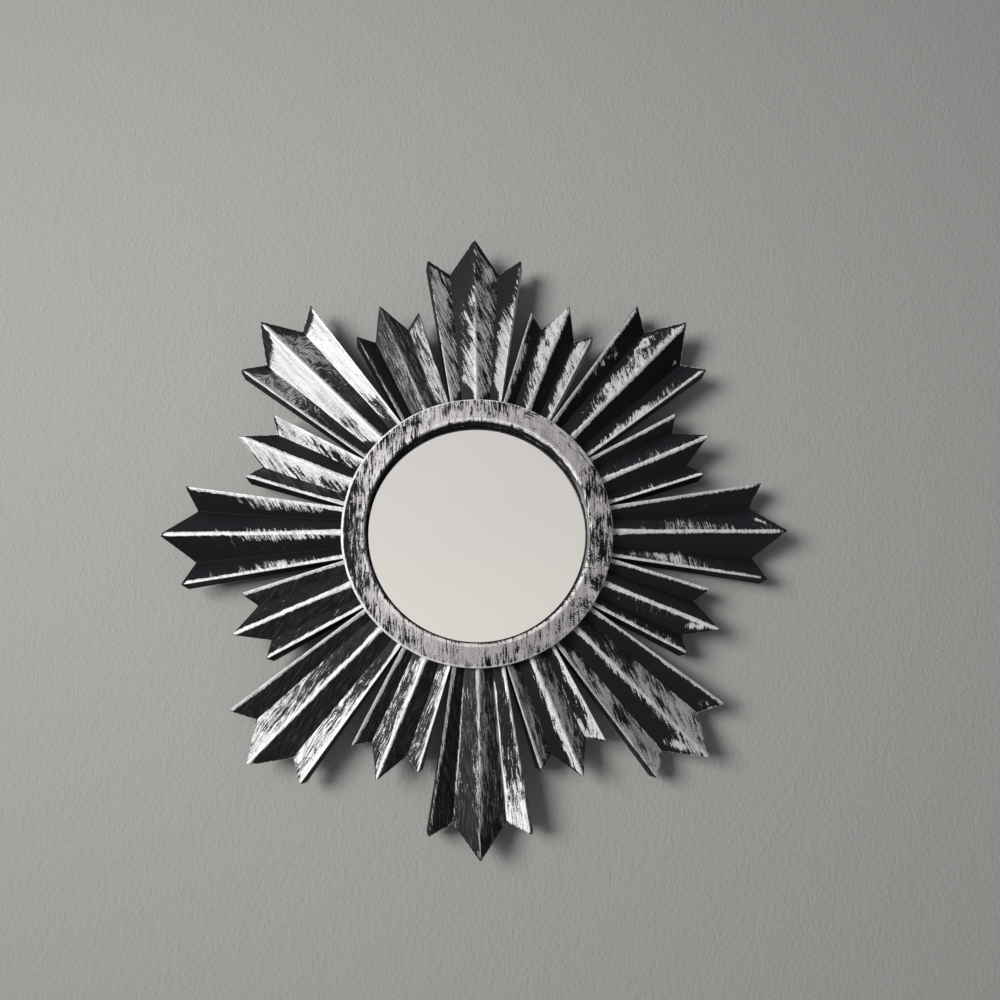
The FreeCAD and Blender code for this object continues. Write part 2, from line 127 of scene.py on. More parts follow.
def smooth_mesh(name: str, points: np.ndarray, faces: list[Face]) -> bpy.types.Mesh:
    """Make a smoothly shaded mesh.

    Args:
        name: The mesh's name.
        points: Its points, in metres.
        faces: The numbers of each face's points, anticlockwise as seen from outside.

    Returns:
        The new mesh.
    """
    mesh = bpy.data.meshes.new(name)
    mesh.from_pydata(points.tolist(), [], faces)
    mesh.polygons.foreach_set("use_smooth", [True] * len(mesh.polygons))
    return mesh


def carry_numbers(mesh: bpy.types.Mesh, name: str, values: np.ndarray) -> None:
    """Let a mesh carry one number for each point."""
    layer = mesh.attributes.new(name, "FLOAT", "POINT")
    layer.data.foreach_set("value", values.astype(np.float32).ravel())


def carry_vectors(mesh: bpy.types.Mesh, name: str, values: np.ndarray) -> None:
    """Let a mesh carry one vector for each point."""
    layer = mesh.attributes.new(name, "FLOAT_VECTOR", "POINT")
    layer.data.foreach_set("vector", values.astype(np.float32).ravel())


class Nodes:
    """A tree of shader nodes, added and joined by short methods."""

    def __init__(self, tree: bpy.types.NodeTree) -> None:
        """Take the tree of a material or of the world."""
        self.tree = tree

    def node(self, kind: str, **settings: Any) -> bpy.types.Node:
        """Add a node.

        Args:
            kind: The node's type.
            **settings: Properties of the node.

        Returns:
            The new node.
        """
        made = self.tree.nodes.new(kind)
        for name, value in settings.items():
            setattr(made, name, value)
        return made

    def feed(self, socket: Socket, value: Feed) -> None:
        """Join a socket to another, or set its value.

        Args:
            socket: The input to feed.
            value: The output to join it to, or a plain value.
        """
        if isinstance(value, bpy.types.NodeSocket):
            self.tree.links.new(value, socket)
        else:
            socket.default_value = value

    def math(self, operation: str, *values: Feed) -> Socket:
        """Combine numbers.

        Args:
            operation: The sum to do, such as ADD or MULTIPLY.
            *values: Its inputs, in order.

        Returns:
            The result's socket.
        """
        made = self.node("ShaderNodeMath", operation=operation)
        for socket, value in zip(made.inputs, values):
            self.feed(socket, value)
        return made.outputs[0]

    def length(self, right: Feed, up: Feed) -> Socket:
        """Give the length of a line from its reach to the right and upwards."""
        return self.math("SQRT", self.math("MULTIPLY_ADD", up, up, self.math("MULTIPLY", right, right)))

    def split(self, vector: Feed) -> tuple[Socket, Socket, Socket]:
        """Split a vector into its numbers.

        Args:
            vector: The vector.

        Returns:
            The sockets of its numbers along X, Y and Z.
        """
        made = self.node("ShaderNodeSeparateXYZ")
        self.feed(made.inputs[0], vector)
        return made.outputs["X"], made.outputs["Y"], made.outputs["Z"]

    def step(self, value: Feed, low: Feed, high: Feed, start: float = 0.0, end: float = 1.0) -> Socket:
        """Map a number smoothly from low and high to start and end.

        Args:
            value: The number.
            low: Where start is reached.
            high: Where end is reached.
            start: The result at low.
            end: The result at high.

        Returns:
            The result's socket.
        """
        made = self.node("ShaderNodeMapRange", interpolation_type="SMOOTHSTEP")
        for socket, number in zip(made.inputs, (value, low, high, start, end)):
            self.feed(socket, number)
        return made.outputs[0]

    def mix(self, share: Feed, first: Feed, second: Feed, blend: str = "MIX") -> Socket:
        """Mix two colours.

        Args:
            share: How much of the second colour there is.
            first: The first colour.
            second: The second colour.
            blend: The way they are mixed, such as MULTIPLY.

        Returns:
            The mixed colour's socket.
        """
        made = self.node("ShaderNodeMix", data_type="RGBA", blend_type=blend)
        self.feed(made.inputs["Factor"], share)
        self.feed(made.inputs["A"], first)
        self.feed(made.inputs["B"], second)
        return next(output for output in made.outputs if output.type == "RGBA")

    def noise(self, vector: Feed, scale: float = 1.0, detail: float = 2.0, roughness: float = 0.5,
              distortion: float = 0.0) -> Socket:
        """Add a cloudy noise.

        Args:
            vector: Where it is read.
            scale: Its repeats per unit.
            detail: Its octaves.
            roughness: The weight of the finer octaves.
            distortion: How far it swirls.

        Returns:
            The noise's value socket.
        """
        made = self.node("ShaderNodeTexNoise")
        self.feed(made.inputs["Vector"], vector)
        for name, value in (("Scale", scale), ("Detail", detail), ("Roughness", roughness),
                            ("Distortion", distortion)):
            made.inputs[name].default_value = value
        return made.outputs["Fac"]

    def stretched(self, vector: Feed, scale: Triple) -> Socket:
        """Scale a place by a different number along each axis.

        Args:
            vector: The place.
            scale: The three numbers.

        Returns:
            The scaled place's socket.
        """
        made = self.node("ShaderNodeMapping")
        self.feed(made.inputs["Vector"], vector)
        made.inputs["Scale"].default_value = scale
        return made.outputs["Vector"]


class Shading(Nodes):
    """The nodes of one material, around its usual shader."""

    def __init__(self, name: str) -> None:
        """Start a material with its usual shader.

        Args:
            name: The material's name.
        """
        self.material = bpy.data.materials.new(name)
        self.material.use_nodes = True
        super().__init__(self.material.node_tree)
        self.shader = self.tree.nodes["Principled BSDF"]

    def place(self) -> Socket:
        """Give the place on the object, in metres."""
        return self.node("ShaderNodeTexCoord").outputs["Object"]

    def value_of(self, name: str) -> Socket:
        """Read a number that the mesh carries."""
        return self.node("ShaderNodeAttribute", attribute_name=name).outputs["Fac"]

    def vector_of(self, name: str) -> Socket:
        """Read a vector that the mesh carries."""
        return self.node("ShaderNodeAttribute", attribute_name=name).outputs["Vector"]

    def bump(self, height: Socket, distance: float, strength: float = 1.0) -> None:
        """Raise the surface.

        Args:
            height: The height, from 0 to 1.
            distance: The height of 1, in metres.
            strength: The share of the relief that is shown.
        """
        made = self.node("ShaderNodeBump")
        made.inputs["Distance"].default_value = distance
        made.inputs["Strength"].default_value = strength
        self.feed(made.inputs["Height"], height)
        self.feed(self.shader.inputs["Normal"], made.outputs["Normal"])

    def set(self, **values: Feed) -> None:
        """Set the shader's inputs by name, with _ for a space."""
        for name, value in values.items():
            self.feed(self.shader.inputs[name.replace("_", " ")], value)


@dataclass(frozen=True)
class Finish:
    """A finish, which has a name and paints a material of its own."""

    name: str

    def paint(self, shading: Shading) -> None:
        """Lay the finish on the nodes of its material."""
        raise NotImplementedError

    def build(self) -> bpy.types.Material:
        """Make the material.

        Returns:
            The new material.
        """
        shading = Shading(self.name)
        self.paint(shading)
        return shading.material


@dataclass(frozen=True)
class DryBrushFinish(Finish):
    """Black paint with silver dragged over it by a nearly dry brush.

    The mesh carries where the silver goes: load, the share that is covered; thin, how much greyer the silver
    is, partly where it was wiped off again and partly as painted shade on rays turned from the light; veil,
    a thin grey film, which on the most veiled facets is partly a painted sheen; crest, the distance to the
    nearest ridge; line, the strength of the silver along the ridges; hair, the place along and across the
    brush strokes; swirl, the share of short curved dabs in all directions; and dull, how matt the black is.
    A swept finish reads a second set of strokes and the share that it has.
    """

    black: Colour = (0.0052, 0.0056, 0.0068, 1.0)
    silver: Colour = (0.93, 0.912, 0.91, 1.0)
    film: Colour = (0.14, 0.14, 0.147, 1.0)
    black_roughness: float = 0.34
    dull_roughness: float = 0.45
    silver_roughness: float = 0.42
    silver_metal: float = 0.15
    silver_spread: float = 0.46
    silver_span: Span = (-0.4, 0.2)
    specular: float = 0.25
    line_reach: float = 0.95 * MILLIMETRE
    line_fade: float = 0.9 * MILLIMETRE
    line_gain: float = 1.4
    line_fine_weight: float = 0.9
    line_broad_weight: float = 0.25
    gain: float = 1.7
    softness: float = 0.13
    bristle_weight: float = 3.0
    smear_weight: float = 1.0
    smear_stretch: Triple = (0.45, 0.3, 1.0)
    grain_weight: float = 0.8
    grain_scale: float = 2300.0
    patch_weight: float = 0.75
    patch_scale: float = 170.0
    dab_size: float = 7.0 * MILLIMETRE
    dab_hair_length: float = 4.5 * MILLIMETRE
    dab_hair_width: float = 0.5 * MILLIMETRE
    dab_variety: float = 50.0
    veil_stretch: Triple = (0.8, 0.9, 1.0)
    veil_span: Span = (0.48, 0.68)
    cloud_stretch: Triple = (0.5, 0.4, 1.0)
    cloud_weight: float = 1.5
    speck_scale: float = 1840.0
    speck_weight: float = 1.0
    mottle_scale: float = 900.0
    mottle_wear: float = 0.3
    mottle_height: float = 0.25
    paint_thickness: float = 0.06 * MILLIMETRE
    paint_relief: float = 0.6
    swept: bool = False

    def strokes(self, shading: Shading, hair: Socket) -> tuple[Socket, Socket]:
        """Give the marks of the bristles and broader smears.

        Args:
            shading: The material's nodes.
            hair: The place along and across the strokes.

        Returns:
            Two noises about a half: the bristles' marks and the smears.
        """
        bristle = shading.noise(hair, detail=4.0, roughness=0.7)
        smear = shading.noise(shading.stretched(hair, self.smear_stretch))
        return bristle, smear

    def dabs(self, shading: Shading) -> Socket:
        """Give the curved marks of a brush that was turned this way and that, in cells with a heading each.

        Args:
            shading: The material's nodes.

        Returns:
            A noise about a half.
        """
        place = shading.place()
        cell = shading.node("ShaderNodeTexVoronoi")
        shading.feed(cell.inputs["Vector"], place)
        cell.inputs["Scale"].default_value = 1.0 / self.dab_size
        chance = cell.outputs["Color"]
        inside = shading.node("ShaderNodeVectorMath", operation="SUBTRACT")
        shading.feed(inside.inputs[0], place)
        shading.feed(inside.inputs[1], cell.outputs["Position"])
        turned = shading.node("ShaderNodeVectorRotate", rotation_type="Y_AXIS")
        shading.feed(turned.inputs["Vector"], inside.outputs["Vector"])
        shading.feed(turned.inputs["Angle"], shading.math("MULTIPLY", chance, 2 * math.pi))
        right, _, up = shading.split(turned.outputs["Vector"])
        right = shading.math("ADD", right, self.dab_size)
        around = shading.math("ARCTAN2", up, right)
        around = shading.math("MULTIPLY", around, self.dab_size / self.dab_hair_length)
        outward = shading.math("MULTIPLY", shading.length(right, up), 1.0 / self.dab_hair_width)
        marks = shading.node("ShaderNodeCombineXYZ")
        shading.feed(marks.inputs["X"], around)
        shading.feed(marks.inputs["Y"], outward)
        shading.feed(marks.inputs["Z"], shading.math("MULTIPLY", chance, self.dab_variety))
        return shading.noise(marks.outputs["Vector"], roughness=0.6, distortion=0.4)

    def blend(self, shading: Shading, first: Socket, second: Socket, share: str) -> Socket:
        """Go from one noise to another by a share that the mesh carries."""
        change = shading.math("SUBTRACT", second, first)
        return shading.math("MULTIPLY_ADD", change, shading.value_of(share), first)

    def weigh(self, shading: Shading, *noises: tuple[Socket, float]) -> Socket:
        """Add up weighted noises.

        Args:
            shading: The material's nodes.
            *noises: Pairs of a noise about a half and its weight.

        Returns:
            A sum that varies about 0.
        """
        total: Feed = -sum(weight for _, weight in noises) / 2
        for noise, weight in noises:
            total = shading.math("MULTIPLY_ADD", noise, weight, total)
        return total

    def laid(self, shading: Shading, wanted: Socket, gain: float, uneven: Socket) -> Socket:
        """Turn a wanted share into paint with uneven edges.

        Args:
            shading: The material's nodes.
            wanted: The share that is wanted.
            gain: How strongly that share counts.
            uneven: The marks of the brush, which vary about 0.

        Returns:
            The share of paint, mostly 0 or 1.
        """
        level = shading.math("MULTIPLY_ADD", wanted, gain, -gain / 2)
        return shading.step(shading.math("ADD", level, uneven), -self.softness, self.softness)

    def cover(self, shading: Shading) -> Socket:
        """Give the share of silver, on the ridges and where the brush was loaded.

        Args:
            shading: The material's nodes.

        Returns:
            The share of silver.
        """
        bristle, smear = self.strokes(shading, shading.vector_of("hair"))
        if self.swept:
            other_bristle, other_smear = self.strokes(shading, shading.vector_of("sweep_hair"))
            bristle = self.blend(shading, bristle, other_bristle, "sweep")
            smear = self.blend(shading, smear, other_smear, "sweep")
        bristle = self.blend(shading, bristle, self.dabs(shading), "swirl")
        grain = shading.noise(shading.place(), self.grain_scale, detail=1.0)
        patch = shading.noise(shading.place(), self.patch_scale, detail=3.0, distortion=0.5)
        fine = self.weigh(shading, (bristle, self.bristle_weight), (grain, self.grain_weight))
        broad = self.weigh(shading, (smear, self.smear_weight), (patch, self.patch_weight))
        brushed = self.laid(shading, shading.value_of("load"), self.gain, shading.math("ADD", fine, broad))
        line_edges = (self.line_reach + self.line_fade, self.line_reach - self.line_fade)
        near = shading.step(shading.value_of("crest"), *line_edges)
        drawn = shading.math("MULTIPLY", near, shading.value_of("line"))
        ragged = shading.math("MULTIPLY", broad, self.line_broad_weight)
        ragged = shading.math("MULTIPLY_ADD", fine, self.line_fine_weight, ragged)
        return shading.math("MAXIMUM", brushed, self.laid(shading, drawn, self.line_gain, ragged))

    def brightness(self, shading: Shading, hair: Socket) -> Socket:
        """Give the uneven thickness of the silver, less what thin takes away as wiped-off silver and as
        painted shade.

        Args:
            shading: The material's nodes.
            hair: The place along and across the strokes.

        Returns:
            The brightness of the silver, from 0 to 1.
        """
        cloud = shading.noise(shading.stretched(hair, self.cloud_stretch), detail=3.0, roughness=0.65)
        speck = shading.noise(shading.place(), self.speck_scale, detail=1.0)
        uneven = self.weigh(shading, (cloud, self.cloud_weight), (speck, self.speck_weight))
        full = shading.step(uneven, *self.silver_span, 1.0 - self.silver_spread, 1.0)
        unthinned = shading.math("SUBTRACT", 1.0, shading.value_of("thin"))
        return shading.math("MULTIPLY", full, unthinned)

    def paint(self, shading: Shading) -> None:
        """Lay the finish on its material.

        Args:
            shading: The material's nodes.
        """
        silver = self.cover(shading)
        hair = shading.vector_of("hair")
        wisp = shading.noise(shading.stretched(hair, self.veil_stretch), detail=4.0, roughness=0.75)
        veil = shading.math("MULTIPLY", shading.value_of("veil"), shading.step(wisp, *self.veil_span))
        ground = shading.mix(veil, self.black, self.film)
        bright = shading.node("ShaderNodeVectorMath", operation="SCALE")
        bright.inputs[0].default_value = self.silver[:3]
        shading.feed(bright.inputs["Scale"], self.brightness(shading, hair))
        mottle = shading.noise(shading.place(), self.mottle_scale)
        worn = shading.math("MULTIPLY_ADD", mottle, self.mottle_wear, silver)
        rough = shading.step(worn, 0.0, 1.0 + self.mottle_wear, self.black_roughness, self.silver_roughness)
        shading.set(
            Base_Color=shading.mix(silver, ground, bright.outputs[0]),
            Metallic=shading.math("MULTIPLY", silver, self.silver_metal),
            Roughness=shading.math("MULTIPLY_ADD", shading.value_of("dull"), self.dull_roughness, rough),
            Specular_IOR_Level=self.specular,
        )
        height = shading.math("MULTIPLY", silver, 1.0 - self.mottle_height)
        height = shading.math("MULTIPLY_ADD", mottle, self.mottle_height, height)
        shading.bump(height, self.paint_thickness, self.paint_relief)


@dataclass(frozen=True)
class PlainPaintFinish(Finish):
    """Black paint as it was sprayed, with a fine orange peel, inside the rays."""

    name: str = "inside_paint"
    colour: Colour = (0.012, 0.012, 0.013, 1.0)
    dust: Colour = (0.03, 0.029, 0.028, 1.0)
    dust_scale: float = 160.0
    dust_span: Span = (0.4, 0.75)
    roughness: Span = (0.42, 0.6)
    peel_scale: float = 1400.0
    peel_height: float = 0.05 * MILLIMETRE
    peel_relief: float = 0.5

    def paint(self, shading: Shading) -> None:
        """Lay the finish on its material.

        Args:
            shading: The material's nodes.
        """
        cloud = shading.noise(shading.place(), self.dust_scale, detail=4.0, roughness=0.6)
        peel = shading.noise(shading.place(), self.peel_scale)
        shading.set(
            Base_Color=shading.mix(shading.step(cloud, *self.dust_span), self.colour, self.dust),
            Roughness=shading.step(cloud, *NOISE_SPAN, *self.roughness),
        )
        shading.bump(peel, self.peel_height, self.peel_relief)


@dataclass(frozen=True)
class MirrorFinish(Finish):
    """Silvered flat glass with a trace of haze."""

    name: str = "mirror_silver"
    tint: Colour = (0.93, 0.935, 0.93, 1.0)
    haze: Colour = (0.9, 0.9, 0.895, 1.0)
    haze_scale: float = 30.0
    haze_span: Span = (0.3, 0.8)
    roughness: Span = (0.008, 0.03)

    def paint(self, shading: Shading) -> None:
        """Lay the finish on its material.

        Args:
            shading: The material's nodes.
        """
        cloud = shading.noise(shading.place(), self.haze_scale, detail=3.0)
        shading.set(
            Base_Color=shading.mix(cloud, self.tint, self.haze),
            Metallic=1.0,
            Roughness=shading.step(cloud, *self.haze_span, *self.roughness),
        )


@dataclass(frozen=True)
class FeltFinish(Finish):
    """Grey felt with short matted fibres."""

    name: str = "felt"
    dark: Colour = (0.07, 0.07, 0.066, 1.0)
    light: Colour = (0.2, 0.2, 0.19, 1.0)
    roughness: float = 0.95
    fibre_scale: float = 2200.0
    fibre_height: float = 0.3 * MILLIMETRE

    def paint(self, shading: Shading) -> None:
        """Lay the finish on its material.

        Args:
            shading: The material's nodes.
        """
        fibre = shading.noise(shading.place(), self.fibre_scale, detail=4.0, roughness=0.7, distortion=1.2)
        shading.set(Base_Color=shading.mix(fibre, self.dark, self.light), Roughness=self.roughness)
        shading.bump(fibre, self.fibre_height)


@dataclass(frozen=True)
class HardboardFinish(Finish):
    """Brown pressed board with flecks of fibre."""

    name: str = "hardboard"
    dark: Colour = (0.105, 0.055, 0.026, 1.0)
    light: Colour = (0.27, 0.155, 0.078, 1.0)
    fleck_rates: Triple = (700.0, 300.0, 1300.0)
    fleck_share: float = 0.6
    fleck_height: float = 0.15 * MILLIMETRE
    fleck_relief: float = 0.6
    cloud_scale: float = 45.0
    cloud_share: float = 0.45
    light_span: Span = (0.34, 0.72)
    roughness: Span = (0.55, 0.8)

    def paint(self, shading: Shading) -> None:
        """Lay the finish on its material.

        Args:
            shading: The material's nodes.
        """
        place = shading.place()
        stretched = shading.stretched(place, self.fleck_rates)
        fleck = shading.noise(stretched, detail=5.0, roughness=0.7, distortion=1.5)
        cloud = shading.noise(place, self.cloud_scale, detail=3.0)
        share = shading.math("MULTIPLY", fleck, self.fleck_share)
        share = shading.math("MULTIPLY_ADD", cloud, self.cloud_share, share)
        shading.set(
            Base_Color=shading.mix(shading.step(share, *self.light_span), self.dark, self.light),
            Roughness=shading.step(fleck, *NOISE_SPAN, *self.roughness),
        )
        shading.bump(fleck, self.fleck_height, self.fleck_relief)


@dataclass(frozen=True)
class ZincFinish(Finish):
    """Zinc plated steel, slightly clouded and scratched."""

    colour: Colour = (0.56, 0.56, 0.55, 1.0)
    cloud: Colour = (0.36, 0.37, 0.38, 1.0)
    cloud_scale: float = 420.0
    cloud_span: Span = (0.35, 0.7)
    roughness: Span = (0.28, 0.46)
    scratch_rates: Triple = (3200.0, 3200.0, 180.0)
    scratch_depth: float = 0.03 * MILLIMETRE
    scratch_relief: float = 0.4

    def paint(self, shading: Shading) -> None:
        """Lay the finish on its material.

        Args:
            shading: The material's nodes.
        """
        place = shading.place()
        mottle = shading.noise(place, self.cloud_scale, detail=4.0, roughness=0.65)
        scratch = shading.noise(shading.stretched(place, self.scratch_rates))
        shading.set(
            Base_Color=shading.mix(shading.step(mottle, *self.cloud_span), self.colour, self.cloud),
            Metallic=1.0,
            Roughness=shading.step(scratch, *NOISE_SPAN, *self.roughness),
        )
        shading.bump(scratch, self.scratch_depth, self.scratch_relief)


@dataclass(frozen=True)
class Coat:
    """How much silver one facet of a ray has.

    The shares of cover are given at the root, in the middle and at the tip. The reach is the share of the
    facet, from its ridge to its valley, that the brush touched. The veil is a thin grey film, which on the
    most veiled coats is partly a painted sheen; thin is how much of the silver was wiped off again, swirl is
    the share of short dabs in all directions, and dull is how matt the black is.
    """

    root: float
    middle: float
    tip: float
    reach: float = 1.4
    veil: float = 0.0
    thin: float = 0.0
    swirl: float = 0.0
    dull: float = 0.0

    def cover(self, share: float) -> float:
        """Give the share of cover at a share of the way along the ray."""
        return float(np.interp(share, (0.0, 0.5, 1.0), (self.root, self.middle, self.tip)))


class Brushing(Enum):
    """The ways in which the facets were brushed."""

    FLANK = Coat(-0.12, -0.12, -0.12, veil=0.3, dull=1.0)
    BARE = Coat(-0.12, -0.12, -0.12)
    VEILED = Coat(-0.08, -0.06, -0.04, veil=0.5)
    SPECKLED = Coat(0.08, 0.2, 0.04, reach=0.75)
    FAINT = Coat(0.14, 0.12, 0.14, veil=0.2)
    FRINGED = Coat(0.5, 0.42, 0.4, reach=0.3)
    BRISTLE = Coat(0.3, 0.6, 0.0, reach=0.6)
    PATCHED = Coat(0.25, 0.55, 0.45, reach=0.85)
    RIDGED = Coat(0.45, 0.58, 0.6, reach=0.9)
    NEAR_ROOT = Coat(0.36, 0.56, -0.4, reach=0.75)
    FADING = Coat(0.66, 0.55, 0.12, reach=0.9, thin=0.2)
    TOWARDS_TIP = Coat(0.1, 0.28, 0.66)
    OUTWARD = Coat(0.0, 0.54, 0.62, veil=0.3)
    STREAKED = Coat(0.48, 0.5, 0.45, veil=0.4)
    DASHED = Coat(0.5, 0.64, 0.64, veil=0.3)
    SILVER = Coat(0.5, 0.88, 0.84, veil=0.3)
    # The next three coats lay a heavy grey veil, which is partly a painted sheen: it stands for the grey
    # gloss of the black paint on these facets.
    SATIN_PAINTED_SHEEN = Coat(0.36, 0.37, 0.28, veil=0.8, thin=0.45)
    SCRATCHED_PAINTED_SHEEN = Coat(0.22, 0.18, 0.2, veil=0.6, thin=0.4)
    SLATE_PAINTED_SHEEN = Coat(0.32, 0.32, 0.24, veil=0.9, thin=0.62)
    SWIRLED = Coat(-0.7, 0.22, 0.52, veil=0.7, thin=0.45, swirl=1.0)


@dataclass(frozen=True)
class Dab:
    """A spot where the brush left more silver, or less where the load is below zero.

    Along goes from 0 at the root to 1 at the end. Across counts creases from 0 at the anticlockwise side
    ridge to 4 at the clockwise one. The length and the width are how far the dab fades out, in the same
    measures.
    """

    along: float
    across: float
    load: float
    length: float
    width: float

    def spread(self, share: float, spots: np.ndarray) -> np.ndarray:
        """Give the dab's load at a share of the way along and at spots across the ray."""
        far = ((share - self.along) / self.length) ** 2 + ((spots - self.across) / self.width) ** 2
        return self.load * np.exp(-far)


@dataclass(frozen=True)
class Brushwork:
    """How one ray was brushed.

    Facets go from the anticlockwise side ridge over valley, middle ridge and valley to the clockwise one.
    The heading is the direction of the strokes in the wall's plane, in degrees from +X towards +Z. The line
    is the silver along the ridges, at the root and at the tip, and bare_tip is the length of tip with little
    silver. Thin is the share by which the silver is greyed, partly as wiped off again and partly as painted
    shade on rays turned from the light, edge the load on the cut edge of the end, line_thin the least share
    greyed along the ridges, and stroke the length and the width of the strokes, as shares of the usual ones.
    """

    facets: tuple[Brushing, Brushing, Brushing, Brushing]
    heading: float
    line: Span
    bare_tip: float = 0.6 * MILLIMETRE
    thin: float = 0.0
    edge: float = 0.35
    line_thin: float = 0.0
    stroke: Span = (1.0, 1.0)
    dabs: tuple[Dab, ...] = ()
